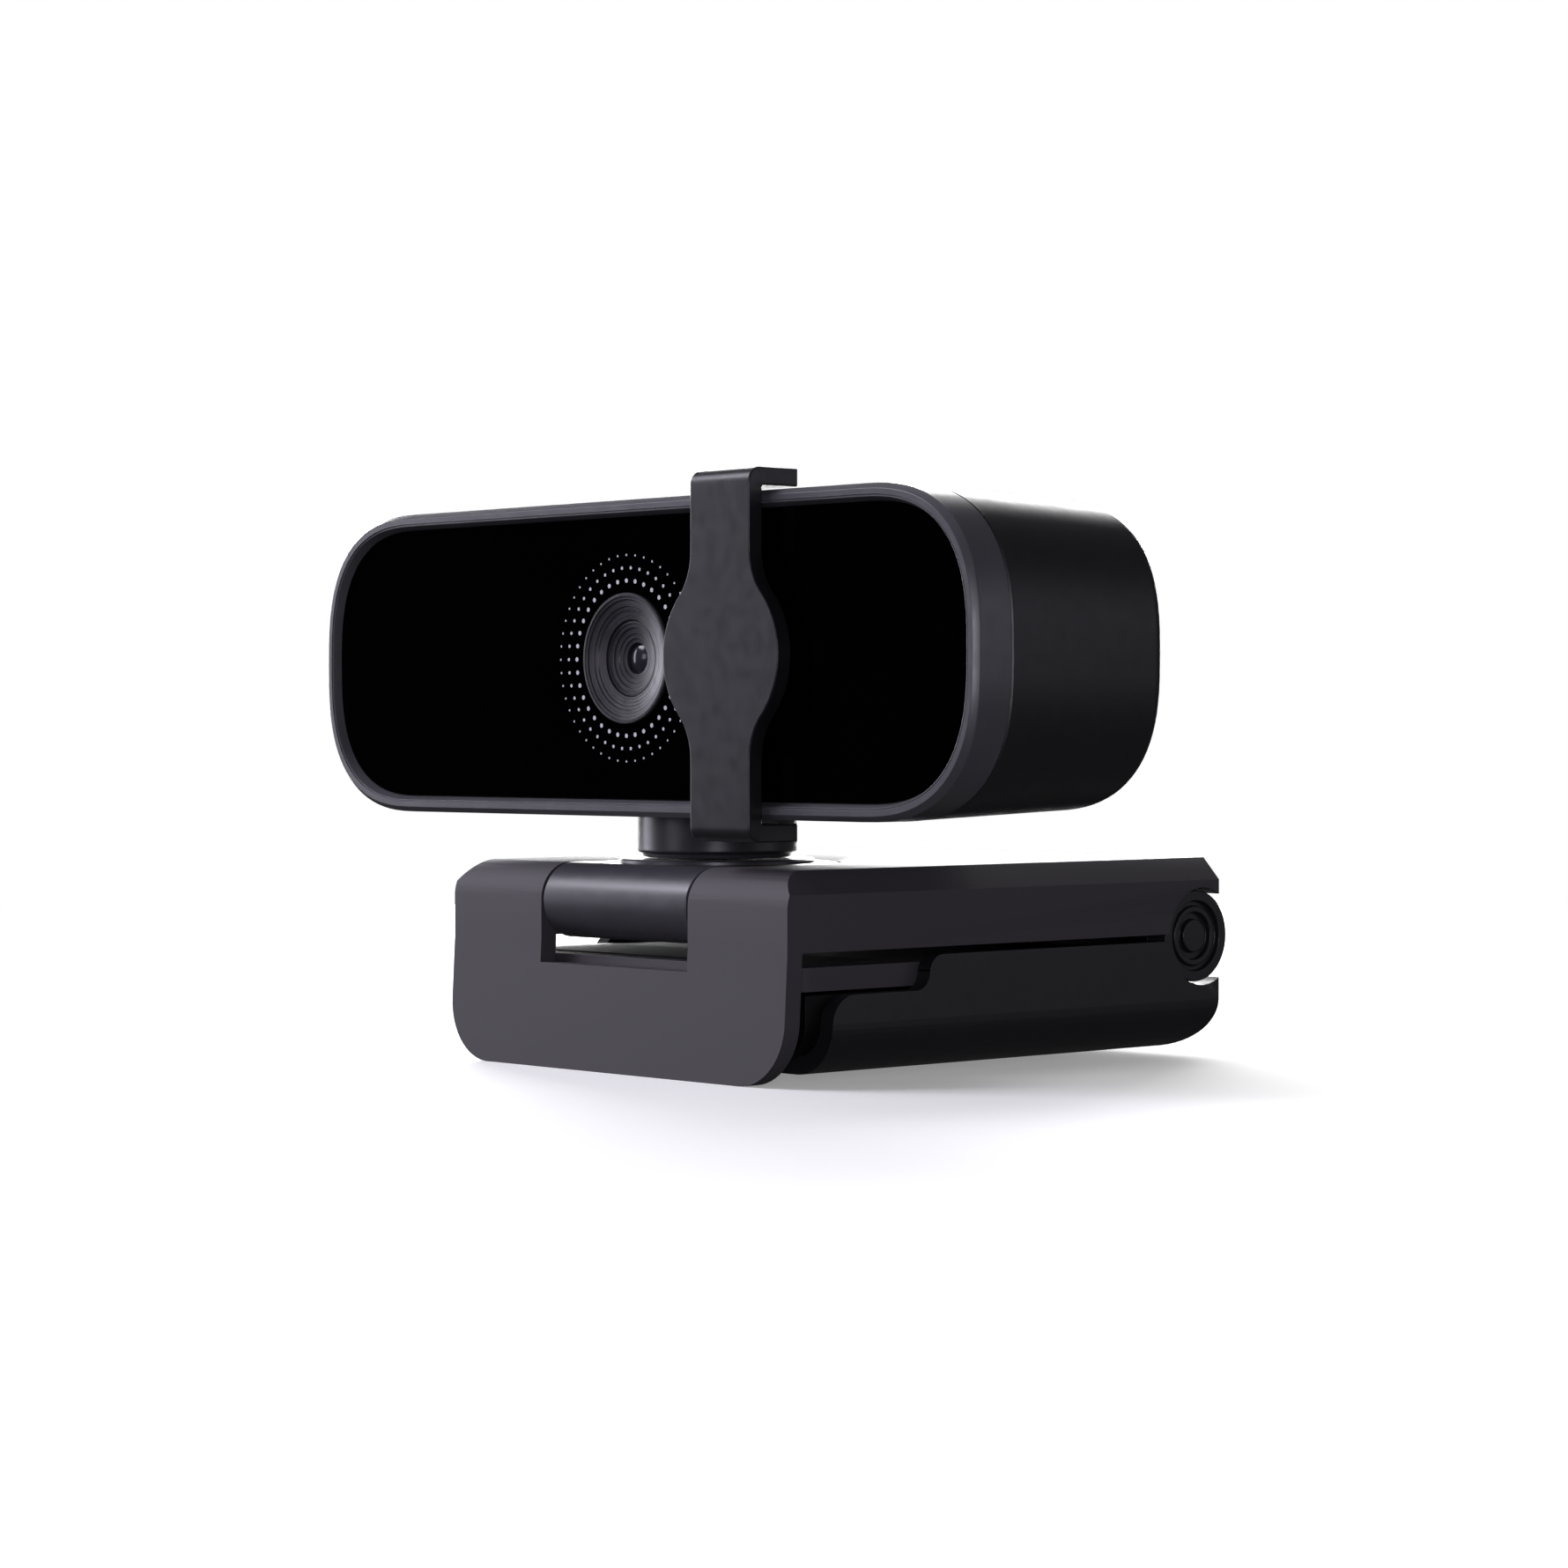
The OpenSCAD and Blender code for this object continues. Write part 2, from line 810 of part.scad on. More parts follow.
module tilt_sleeve() {
    color("#a5a5aa")
        difference() {
            x_rod(tilt_pin_r + sleeve_t, -tilt_sleeve_half + seat, tilt_sleeve_half - seat, tilt_y, tilt_z);
            x_rod(tilt_pin_r + run / 2, -clip_w, clip_w, tilt_y, tilt_z);
        }
}

// ---- clip ----

// Front outline of the clip: chamfered shoulders and rounded lip corners
module clip_front_outline() {
    polygon([
        [-half_w, lip_r], [-half_w, clip_h - edge_h], [-half_w + edge_w, clip_h],
        [half_w - edge_w, clip_h], [half_w, clip_h - edge_h], [half_w, lip_r]
    ]);
    translate([-half_w + lip_r, 0])
        square([clip_w - 2 * lip_r, lip_r + EPS]);
    for (x = [-1, 1])
        translate([x * (half_w - lip_r), lip_r])
            circle(lip_r);
}

// Side outline of the whole clip: rounded brow, lip leaning forward at its foot
module clip_side_outline() {
    difference() {
        union() {
            translate([front_y, skirt_z])
                square([clip_l, skirt_h]);
            polygon([
                [front_y - lip_lean, 0], [front_y, skirt_z + EPS], [front_y + lip_t, skirt_z + EPS],
                [front_y + lip_t - lip_lean, 0]
            ]);
        }
        translate([front_y - EPS, clip_h - brow_r + EPS])
            difference() {
                square([brow_r, brow_r]);
                translate([brow_r, 0])
                    circle(brow_r);
            }
        translate([hinge_y, hinge_z])
            circle(clear_r);
        polygon([
            [hinge_y, hinge_z], [back_y + 1, web_z], [back_y + 1, hinge_z]
        ]);
    }
}

// Hollow of the clip between skirts, lip and top
module clip_hollow() {
    inner = half_w - clip_wall;
    difference() {
        span([-inner, front_y + lip_t, -1], [inner, back_y + 1, clip_h - clip_wall]);
        difference() {
            z_rod(leaf_end_r + ledge_w, clip_h - top_t, clip_h, 0, neck_y);
            span([-clip_w, neck_y - 2 * clip_w, 0], [clip_w, tilt_y, clip_h]);
        }
        span([-leaf_half - ledge_w, tilt_y, clip_h - top_t], [leaf_half + ledge_w, neck_y, clip_h]);
        for (x = [-1, 1])
            span([x * cheek_x - cheek_t / 2, front_y, skirt_z + 0.4],
                 [x * cheek_x + cheek_t / 2, tilt_y + leaf_barrel_r, clip_h]);
        for (x = [-1, 1], y = [boss_front, boss_back])
            z_rod(boss_r, cover_z + cover_t + seat, clip_h, x * boss_x, y);
        span([-inner, rear_block, skirt_z], [inner, back_y + 1, clip_h]);
    }
}

module clip_body() {
    color("#39383c")
        difference() {
            union() {
                intersection() {
                    along_y(front_y - 2, back_y)
                        clip_front_outline();
                    along_x(-half_w, half_w)
                        clip_side_outline();
                }
                clip_knuckles();
            }
            clip_hollow();
            leaf_pocket();
            x_rod(tilt_pin_r, -tilt_pin_half, tilt_pin_half, tilt_y, tilt_z);
            x_rod(hinge_pin_r, -pin_half, pin_half, hinge_y, hinge_z);
            for (x = [-1, 1], y = [boss_front, boss_back])
                z_rod(screw_r, skirt_z, clip_h - clip_wall, x * boss_x, y);
        }
}

// The clip's two outer knuckles with their webs up to the top
module clip_knuckles() {
    for (x = [-1, 1])
        along_x(x > 0 ? mid_knuckle + gap : -cap_in + seat, x > 0 ? cap_in - seat : -mid_knuckle - gap) {
            translate([hinge_y, hinge_z])
                circle(knuckle_r);
            translate([hinge_y - knuckle_r, hinge_z])
                square([knuckle_neck * knuckle_r, clip_h - 1 - hinge_z]);
        }
}

// Notch for the barrel, flush pocket for the leaf with room to swing out, and the fastener's well
module leaf_pocket() {
    notch_back = tilt_y + leaf_barrel_r + gap;
    span([-notch_w / 2, front_y - 3, clip_h - notch_h], [notch_w / 2, notch_back, clip_h + 1]);
    translate([0, 0, leaf_under - seat])
        linear_extrude(leaf_t + 2)
            leaf_outline(gap);
    z_rod(leaf_end_r + gap, leaf_under - seat, clip_h + 1, 0, neck_y - swing_out);
    z_rod(well_r, skirt_z, clip_h, 0, neck_y);
}

module clip_cover() {
    inner = half_w - clip_wall - seat;
    color("#19191c")
        difference() {
            span([-inner, cover_front, cover_z], [inner, cover_back, cover_z + cover_t]);
            span([-notch_w / 2 - 4, cover_front - 1, cover_z - 1],
                 [notch_w / 2 + 4, cover_front + 1, clip_h]);
            for (x = [-1, 1], y = [boss_front, boss_back]) {
                z_rod(screw_r + 0.1, cover_z - 1, clip_h, x * boss_x, y);
                z_rod(screw_head_r + 0.1, cover_z - 1, cover_z + screw_head_h - cover_screw_drop,
                      x * boss_x, y);
            }
        }
}

module cover_screws() {
    color("#2a2a2e")
        for (x = [-1, 1], y = [boss_front, boss_back])
            screw_up(x * boss_x, y, cover_z - cover_screw_drop, cover_screw_l);
}

// Y of the lip's back face at height z
function lip_back(z) = front_y + lip_t - lip_lean * (1 - z / skirt_z);

module lip_pad() {
    top = clip_h - notch_h - lip_pad_drop;
    color("#0e0e10")
        along_x(-half_w + lip_r, half_w - lip_r)
            polygon([
                [lip_back(lip_pad_z), lip_pad_z], [lip_back(top), top],
                [lip_back(top) + pad_t, top], [lip_back(lip_pad_z) + pad_t, lip_pad_z]
            ]);
}

module jaw_pad() {
    color("#0e0e10")
        span([-jaw_pad_half, boss_front - jaw_pad_ahead, cover_z - pad_t],
             [jaw_pad_half, boss_back + jaw_pad_behind, cover_z]);
}

module tilt_pin() {
    color("#9a9aa0")
        x_rod(tilt_pin_r, -tilt_pin_half + seat, tilt_pin_half - seat, tilt_y, tilt_z);
}

// ---- rear hinge ----

module hinge_pin() {
    color("#9a9aa0")
        x_rod(hinge_pin_r, -pin_half + seat, pin_half - seat, hinge_y, hinge_z);
}

// One stepped end cap, drawn for the +X side
module hinge_cap() {
    difference() {
        x_rod(knuckle_r, cap_in, cap_out, hinge_y, hinge_z);
        for (step = cap_steps)
            difference() {
                x_rod(step[0], cap_out - step[2], cap_out + 1, hinge_y, hinge_z);
                x_rod(step[1], cap_out - 1, cap_out - cap_face, hinge_y, hinge_z);
            }
        x_rod(hinge_pin_r, cap_in - 1, pin_half, hinge_y, hinge_z);
    }
}

module hinge_caps() {
    color("#222226") {
        hinge_cap();
        mirror([1, 0, 0])
            hinge_cap();
    }
}

// ---- arm ----

// Front outline of the arm: rounded lower edges
module arm_front_outline() {
    translate([-half_w, arm_z + arm_r])
        square([clip_w, arm_top - arm_z - arm_r]);
    translate([-half_w + arm_r, arm_z])
        square([clip_w - 2 * arm_r, arm_r + EPS]);
    for (x = [-1, 1])
        translate([x * (half_w - arm_r), arm_z + arm_r])
            circle(arm_r);
}

// Side outline of the arm's walls: step beside the foot, rounded back, hinge relief
module arm_side_outline() {
    low = core_top;
    difference() {
        union() {
            translate([well_front + bump_r, arm_z + arm_r])
                square([back_y - well_front - bump_r, arm_top - arm_z - arm_r]);
            translate([well_front, arm_z + arm_r])
                square([bump_r + EPS, arm_top - arm_z - arm_r - bump_r]);
            translate([well_front + bump_r, arm_top - bump_r])
                circle(bump_r);
            translate([front_y + arm_front, arm_z])
                square([back_y - arm_r - front_y - arm_front, arm_r + EPS]);
            translate([back_y - arm_r, arm_z + arm_r])
                circle(arm_r);
            translate([front_y + arm_front, arm_z])
                square([well_front - front_y - arm_front + EPS, low - arm_z - nose_r]);
            translate([front_y + arm_front + nose_r, arm_z])
                square([well_front - front_y - arm_front, low - arm_z]);
            translate([front_y + arm_front + nose_r, low - nose_r])
                circle(nose_r);
            translate([well_front - bump_r + EPS, low - EPS])
                difference() {
                    square([bump_r, bump_r]);
                    translate([0, bump_r])
                        circle(bump_r);
                }
        }
        translate([hinge_y, hinge_z])
            circle(clear_r);
        polygon([
            [hinge_y, hinge_z], [back_y + 1, arm_back_z], [back_y + 1, hinge_z + knuckle_r],
            [hinge_y, hinge_z + knuckle_r]
        ]);
    }
}

module arm_shell() {
    inner = half_w - arm_wall;
    color("#1d1c20")
        difference() {
            union() {
                difference() {
                    intersection() {
                        along_y(front_y, back_y)
                            arm_front_outline();
                        along_x(-half_w, half_w)
                            arm_side_outline();
                    }
                    intersection() {
                        along_y(front_y - 1, back_y - arm_wall)
                            offset_floor(inner);
                        along_x(-inner, inner)
                            translate([front_y, arm_floor])
                                square([back_y - arm_wall - front_y, clip_h]);
                    }
                }
                along_x(-mid_knuckle, mid_knuckle) {
                    translate([hinge_y, hinge_z])
                        circle(knuckle_r);
                    translate([hinge_y - knuckle_r, arm_floor - EPS])
                        square([knuckle_foot * knuckle_r, hinge_z - arm_floor]);
                }
            }
            x_rod(hinge_pin_r + run, -clip_w, clip_w, hinge_y, hinge_z);
            x_rod(hinge_pin_r + sleeve_t, -sleeve_half, sleeve_half, hinge_y, hinge_z);
            z_rod(insert_r + seat, arm_z - 1, arm_floor + 1, 0, socket_y);
            for (x = [-1, 1], y = [arm_screw_front, arm_screw_back]) {
                z_rod(screw_r + 0.1, arm_z - 1, arm_floor + 1, x * arm_screw_x, y);
                z_rod(screw_head_r + 0.1, arm_z - 1, arm_z + screw_head_h + seat, x * arm_screw_x, y);
            }
        }
}

// Inside of the arm's cross-section, rounded like the outside
module offset_floor(inner) {
    r = arm_r - arm_wall;
    translate([-inner, arm_floor + r])
        square([2 * inner, clip_h]);
    translate([-inner + r, arm_floor])
        square([2 * (inner - r), r + EPS]);
    for (x = [-1, 1])
        translate([x * (inner - r), arm_floor + r])
            circle(r);
}

module arm_core() {
    color("#0b0b0d")
        difference() {
            union() {
                core_slab(front_y + core_front, core_back, core_top);
                core_slab(core_block, core_back, foot_top);
            }
            z_rod(insert_r + seat, 0, insert_top + seat, 0, socket_y);
            z_rod(insert_flange_r + seat, 0, arm_floor + insert_flange_t + 2 * seat, 0, socket_y);
            for (x = [-1, 1], y = [arm_screw_front, arm_screw_back])
                z_rod(screw_r, arm_z, arm_floor + arm_screw_l + hole_play, x * arm_screw_x, y);
            x_rod(foot_lug_r + gap, -foot_lug_half - gap, foot_lug_half + gap, foot_pin_y, foot_pin_z);
            x_rod(foot_pin_r, -foot_lug_half - foot_pin_in, foot_lug_half + foot_pin_in,
                  foot_pin_y, foot_pin_z);
        }
}

// Slab that fills the arm shell's cross-section from y0 to y1, up to height top
module core_slab(y0, y1, top) {
    along_y(y0, y1)
        intersection() {
            offset_floor(core_half);
            translate([-half_w, arm_floor + seat])
                square([clip_w, top - arm_floor - seat]);
        }
}

module tripod_insert() {
    color("#b08d4a")
        difference() {
            union() {
                z_rod(insert_r, arm_z + socket_sink, insert_top, 0, socket_y);
                z_rod(insert_flange_r, arm_floor + seat, arm_floor + insert_flange_t, 0, socket_y);
            }
            z_rod(socket_r, arm_z - 1, arm_z + socket_sink + socket_l, 0, socket_y);
        }
}

module arm_screws() {
    color("#2a2a2e")
        for (x = [-1, 1], y = [arm_screw_front, arm_screw_back])
            screw_up(x * arm_screw_x, y, arm_z + seat, arm_screw_l);
}

module hinge_sleeve() {
    color("#a5a5aa")
        difference() {
            x_rod(hinge_pin_r + sleeve_t, -sleeve_half + seat, sleeve_half - seat, hinge_y, hinge_z);
            x_rod(hinge_pin_r + run / 2, -clip_w, clip_w, hinge_y, hinge_z);
        }
}

// ---- foot ----

module foot_pin() {
    color("#9a9aa0")
        x_rod(foot_pin_r, -foot_lug_half - foot_pin_in + seat, foot_lug_half + foot_pin_in - seat,
              foot_pin_y, foot_pin_z);
}

module foot_plate() {
    color("#38373b")
        difference() {
            union() {
                translate([0, (foot_front + foot_pin_y) / 2, foot_z])
                    linear_extrude(foot_t)
                        round_rect(2 * foot_half, foot_pin_y - foot_front, foot_r);
                x_rod(foot_lug_r, -foot_lug_half, foot_lug_half, foot_pin_y, foot_pin_z);
            }
            x_rod(foot_pin_r + run, -clip_w, clip_w, foot_pin_y, foot_pin_z);
            span([-foot_half + pad_in, foot_front + pad_in, foot_top - pad_sink],
                 [foot_half - pad_in, foot_front + pad_in + pad_l, clip_h]);
        }
}

module foot_pad() {
    color("#0e0e10")
        span([-foot_half + pad_in + seat, foot_front + pad_in + seat, foot_top - pad_sink],
             [foot_half - pad_in - seat, foot_front + pad_in + pad_l - seat, foot_top + pad_out]);
}

front_bezel();
front_glass();
glass_tape();
lens_surround();
lens_barrel();
lens_retainer();
lens_front_element();
lens_rear_element();
infrared_filter();
lens_holder();
image_sensor();
main_board();
video_chip();
cable_connector();
microphones();
microphone_boots();
heat_plate();
board_screws();
rear_shell();
shell_screws();
cable_gland();
shutter();
neck();
neck_screws();
swivel_spring();
swivel_screw();
swivel_ring();
tilt_leaf();
tilt_sleeve();
clip_body();
clip_cover();
cover_screws();
lip_pad();
jaw_pad();
tilt_pin();
hinge_pin();
hinge_caps();
arm_shell();
arm_core();
tripod_insert();
arm_screws();
hinge_sleeve();
foot_pin();
foot_plate();
foot_pad();
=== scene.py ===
import math

import bmesh
import bpy
import numpy as np
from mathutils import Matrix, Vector


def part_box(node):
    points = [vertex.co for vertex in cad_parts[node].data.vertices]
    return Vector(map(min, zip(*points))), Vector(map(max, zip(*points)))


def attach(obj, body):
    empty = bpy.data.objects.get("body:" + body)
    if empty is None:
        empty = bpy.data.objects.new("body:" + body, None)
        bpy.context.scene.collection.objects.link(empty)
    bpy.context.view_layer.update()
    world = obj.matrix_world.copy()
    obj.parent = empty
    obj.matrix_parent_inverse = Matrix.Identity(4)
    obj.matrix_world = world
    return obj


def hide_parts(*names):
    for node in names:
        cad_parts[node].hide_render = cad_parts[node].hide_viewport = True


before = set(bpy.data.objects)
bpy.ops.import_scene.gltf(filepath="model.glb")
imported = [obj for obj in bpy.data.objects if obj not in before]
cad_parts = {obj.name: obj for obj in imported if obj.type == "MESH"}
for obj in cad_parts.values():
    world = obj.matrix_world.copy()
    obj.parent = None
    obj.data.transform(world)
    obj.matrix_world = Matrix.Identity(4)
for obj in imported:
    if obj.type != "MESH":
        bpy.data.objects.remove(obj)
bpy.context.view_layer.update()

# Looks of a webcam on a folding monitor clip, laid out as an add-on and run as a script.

bl_info = {
    "name": "Folding clip webcam",
    "version": (1, 0, 0),
    "blender": (4, 5, 0),
    "location": "View3D > Sidebar > Webcam",
    "description": "Builds the shells, lens, shutter, clip and studio of a webcam round its frame",
    "category": "Object",
}

MM = 0.001
SHARP_ANGLE = 32     # degrees: edges that turn further stay sharp
CORNER_STEPS = 24    # points of one corner of the head's outline
CORNER_POWER = 2.65  # how gently the head's corners run into its sides


# ---- places read from the frame ----

def corners(node):
    """Lowest and highest corner of a frame node as numpy rows."""
    low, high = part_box(node)
    return np.array(low), np.array(high)


BEZEL_LOW, BEZEL_HIGH = corners("front_bezel")
SHELL_LOW, SHELL_HIGH = corners("rear_shell")
GLASS_LOW, GLASS_HIGH = corners("front_glass")
SURROUND_LOW, SURROUND_HIGH = corners("lens_surround")
ELEMENT_BACK = corners("lens_front_element")[1][1]
RETAINER_LOW, RETAINER_HIGH = corners("lens_retainer")
SHUTTER_LOW, SHUTTER_HIGH = corners("shutter")
RING_LOW, RING_HIGH = corners("swivel_ring")
SCREWS_RIGHT = corners("shell_screws")[1][0]
GLAND_LOW, GLAND_HIGH = corners("cable_gland")

HEAD_W = BEZEL_HIGH[0] - BEZEL_LOW[0]
HEAD_H = BEZEL_HIGH[2] - BEZEL_LOW[2]
RIM_Y = BEZEL_LOW[1]
SEAM_Y = BEZEL_HIGH[1]
BACK_Y = SHELL_HIGH[1]
LENS_Z = (BEZEL_LOW[2] + BEZEL_HIGH[2]) / 2
LENS_R = (SURROUND_HIGH[0] - SURROUND_LOW[0]) / 2
NECK_Y = (RING_LOW[1] + RING_HIGH[1]) / 2


# ---- sizes and colours that a user would change ----

def size(name, description, value):
    """A length property, its value in millimetres."""
    return bpy.props.FloatProperty(name=name, description=description, default=value * MM,
                                   unit="LENGTH", precision=5)


def tone(name, description, value):
    """A linear colour property."""
    return bpy.props.FloatVectorProperty(name=name, description=description, default=value,
                                         subtype="COLOR", size=3, min=0, max=1)


def share(name, description, value):
    """A plain factor from 0 to 1."""
    return bpy.props.FloatProperty(name=name, description=description, default=value,
                                   subtype="FACTOR", min=0, max=1)


class HeadLooks(bpy.types.PropertyGroup):
    """Sizes and colours of the camera head."""

    corner: size("Corner radius", "Reach of the head's corner curve, seen from the front", 14.3)
    back_round: size("Back rounding", "Rounding of the shell's back edge", 1.5)
    draft: size("Draft", "How much the shell narrows towards its back", 0.7)
    wall: size("Shell wall", "Wall of the rear shell", 1.6)
    rim: size("Rim width", "Width of the bezel from its outside to the glass", 1.5)
    chamfer: size("Rim chamfer", "Chamfer on the rim's outer edge", 0.5)
    face: size("Rim face", "Width of the rim's flat front", 0.5)
    groove: size("Rim groove", "Width and depth of the fine groove beside the flat front", 0.13)
    dot_ring: size("First dot ring", "Radius of the innermost ring of printed dots", 7.16)
    dot_step: size("Dot ring step", "Distance from one dot ring to the next", 1.185)
    dot_radius: size("Dot radius", "Radius of a dot in the innermost ring", 0.21)
    dots: bpy.props.IntProperty(name="Dots", description="Dots in the innermost ring",
                                default=36, min=6, max=60)
    more_dots: bpy.props.IntProperty(name="More dots", description="Dots added from ring to ring",
                                     default=6, min=0, max=12)
    shell_tone: tone("Shell", "Colour of the rear shell", (0.0105, 0.0098, 0.0135))
    rim_tone: tone("Rim", "Colour of the bezel", (0.068, 0.0665, 0.077))
    dot_tone: tone("Dots", "Colour of the printed dots", (0.50, 0.50, 0.56))
    lens_tone: tone("Lens trim", "Colour of the stepped lens surround", (0.022, 0.0213, 0.0255))


class ShutterLooks(bpy.types.PropertyGroup):
    """Sizes and colour of the sliding shutter."""

    strip: size("Strip width", "Width of the strip above and below the disc", 7.9)
    thickness: size("Thickness", "Thickness of the strip", 1.6)
    flare: size("Flare radius", "Radius of the flare from strip to disc", 5.8)
    bend: size("Bend radius", "Outer radius where the hooks turn back", 1.3)
    edge: size("Edge rounding", "Rounding along the strip's long edges", 0.16)
    tone: tone("Shutter", "Colour of the shutter", (0.0105, 0.0100, 0.0130))


class ClipLooks(bpy.types.PropertyGroup):
    """Edge softness and colours of neck, clip, arm and foot."""

    soft: size("Moulded edge", "Rounding of the large mouldings' edges", 0.42)
    fine: size("Fine edge", "Rounding of small pieces' edges", 0.14)
    neck_radius: size("Neck radius", "Radius of the neck column", 7.5)
    clip_tone: tone("Clip", "Colour of the clip body, leaf and foot", (0.030, 0.0288, 0.0345))
    arm_tone: tone("Arm", "Colour of the folding arm", (0.0105, 0.0098, 0.0130))
    neck_tone: tone("Neck", "Colour of the neck", (0.030, 0.0288, 0.0345))
    core_tone: tone("Core", "Colour of the arm's inner core and cover", (0.0012, 0.0012, 0.0015))


class StageLooks(bpy.types.PropertyGroup):
    """Camera and light of the studio."""

    lens: bpy.props.FloatProperty(name="Focal length", description="Camera lens in millimetres",
                                  default=87.98, min=20, max=200)
    azimuth: bpy.props.FloatProperty(name="Camera azimuth", description="Camera's turn round the object",
                                     default=math.radians(47.4), subtype="ANGLE")
    floor_tone: tone("Floor", "Colour of the floor", (0.85, 0.85, 0.85))


# ---- mesh tools ----

def put(name, verts, faces, body, angle=SHARP_ANGLE):
    """A welded mesh piece on a body: faces turned outwards, edges over angle degrees kept sharp."""
    mesh = bpy.data.meshes.new(name)
    mesh.from_pydata(np.asarray(verts, float).tolist(), [], faces)
    work = bmesh.new()
    work.from_mesh(mesh)
    bmesh.ops.remove_doubles(work, verts=work.verts, dist=1e-7)
    bmesh.ops.recalc_face_normals(work, faces=work.faces)
    work.to_mesh(mesh)
    work.free()
    mesh.shade_smooth()
    mesh.set_sharp_from_angle(angle=math.radians(angle))
    piece = bpy.data.objects.new(name, mesh)
    bpy.context.scene.collection.objects.link(piece)
    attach(piece, body)
    even = piece.modifiers.new("flat faces", "WEIGHTED_NORMAL")
    even.weight = 90
    even.keep_sharp = True
    return piece


def grid_faces(rows, columns, closed_rows=False, caps=True):
    """Quads of a grid whose columns close round; caps closes the first and last row with one face."""
    r = np.arange(rows if closed_rows else rows - 1)[:, None]
    c = np.arange(columns)[None, :]
    r1 = (r + 1) % rows
    c1 = (c + 1) % columns
    quads = np.stack([r * columns + c, r * columns + c1, r1 * columns + c1, r1 * columns + c], axis=-1)
    faces = quads.reshape(-1, 4).tolist()
    if caps and not closed_rows:
        faces.append(list(range(columns)))
        faces.append([(rows - 1) * columns + k for k in range(columns)])
    return faces


def rounded_loop(width, height, radius, steps=CORNER_STEPS, power=2):
    """X and Z of a rounded rectangle about the origin, one quarter turn at each corner.

    A quarter is the curve where x to the power plus z to the power is one: power 2 is a circle, and
    a higher power runs into the straight sides more gently.
    """
    turn = np.linspace(0, math.pi / 2, steps)
    quarter = np.stack([np.cos(turn), np.sin(turn)], axis=1).clip(0) ** (2 / power)
    loops = []
    for k, (sx, sz) in enumerate(((1, 1), (-1, 1), (-1, -1), (1, -1))):
        c, s = math.cos(k * math.pi / 2), math.sin(k * math.pi / 2)
        arc = quarter @ np.array([[c, s], [-s, c]])
        loops.append(arc * radius + np.array([sx * (width / 2 - radius), sz * (height / 2 - radius)]))
    return np.concatenate(loops)


def head_loops(profile, corner):
    """Carries a profile of (inset, y) round the head's outline: row k is the outline shrunk by inset k."""
    rows = []
    for inset, y in profile:
        loop = rounded_loop(HEAD_W - 2 * inset, HEAD_H - 2 * inset, max(corner - inset, 0.4 * MM),
                            power=CORNER_POWER)
        rows.append(np.stack([loop[:, 0], np.full(len(loop), y), loop[:, 1] + LENS_Z], axis=1))
    return np.array(rows)


def lathe(name, profile, centre, axis, body, steps=96, closed=False, angle=SHARP_ANGLE):
    """Turns a profile of (radius, height) about an axis through centre: the height runs along the axis."""
    profile = np.array(profile, float)
    turn = np.arange(steps) * 2 * math.pi / steps
    across = profile[:, :1] * np.cos(turn)
    up = profile[:, :1] * np.sin(turn)
    along = np.repeat(profile[:, 1:], steps, axis=1)
    parts = {"X": (along, across, up), "Y": (across, along, up), "Z": (across, up, along)}[axis]
    verts = np.stack(parts, axis=-1) + np.array(centre)
    faces = grid_faces(len(profile), steps, closed_rows=closed, caps=not closed)
    return put(name, verts.reshape(-1, 3), faces, body, angle)


def arc(centre, radius, start, end, steps=5):
    """Points of a circle's arc in a profile's plane, angles in degrees."""
    turn = np.radians(np.linspace(start, end, steps))
    return [(centre[0] + radius * math.cos(a), centre[1] + radius * math.sin(a)) for a in turn]


def soft_copy(node, width, material, slot, body, segments=3, angle=30):
    """A welded copy of a frame node with its edges rounded, shown in the node's place."""
    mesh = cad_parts[node].data.copy()
    work = bmesh.new()
    work.from_mesh(mesh)
    bmesh.ops.remove_doubles(work, verts=work.verts, dist=2e-6)
    bmesh.ops.dissolve_degenerate(work, edges=work.edges, dist=1e-6)
    bmesh.ops.dissolve_limit(work, angle_limit=math.radians(0.8), verts=work.verts, edges=work.edges)
    work.to_mesh(mesh)
    work.free()
    mesh.materials.clear()
    mesh.shade_smooth()
    mesh.set_sharp_from_angle(angle=math.radians(angle))
    piece = bpy.data.objects.new("soft_" + node, mesh)
    bpy.context.scene.collection.objects.link(piece)
    bevel = piece.modifiers.new("moulded edges", "BEVEL")
    bevel.width = width
    bevel.segments = segments
    bevel.limit_method = "ANGLE"
    bevel.angle_limit = math.radians(angle)
    bevel.use_clamp_overlap = True
    bevel.harden_normals = True
    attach(piece, body)
    return dress(piece, material, slot, node)


def dress(piece, material, slot, *nodes):
    """Gives a piece its material, and shows it in place of frame nodes; the slot argument is not used."""
    piece.data.materials.clear()
    piece.data.materials.append(material)
    if nodes:
        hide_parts(*nodes)
    return piece


def apply_modifiers(piece):
    """Bakes a piece's modifiers into its mesh."""
    graph = bpy.context.evaluated_depsgraph_get()
    mesh = bpy.data.meshes.new_from_object(piece.evaluated_get(graph))
    piece.modifiers.clear()
    piece.data = mesh


def drill(piece, holes, axis):
    """Cuts round holes (centre, radius, half length) through a piece along an axis."""
    cutters = []
    for k, (centre, radius, half) in enumerate(holes):
        bit = lathe(f"bit_{k}", [(radius, -half), (radius, half)], centre, axis, "head", steps=48)
        cut = piece.modifiers.new(f"hole {k}", "BOOLEAN")
        cut.operation = "DIFFERENCE"
        cut.solver = "EXACT"
        cut.object = bit
        cutters.append(bit)
    apply_modifiers(piece)
    for bit in cutters:
        bpy.data.objects.remove(bit)
    piece.data.shade_smooth()
    piece.data.set_sharp_from_angle(angle=math.radians(SHARP_ANGLE))


# ---- materials ----

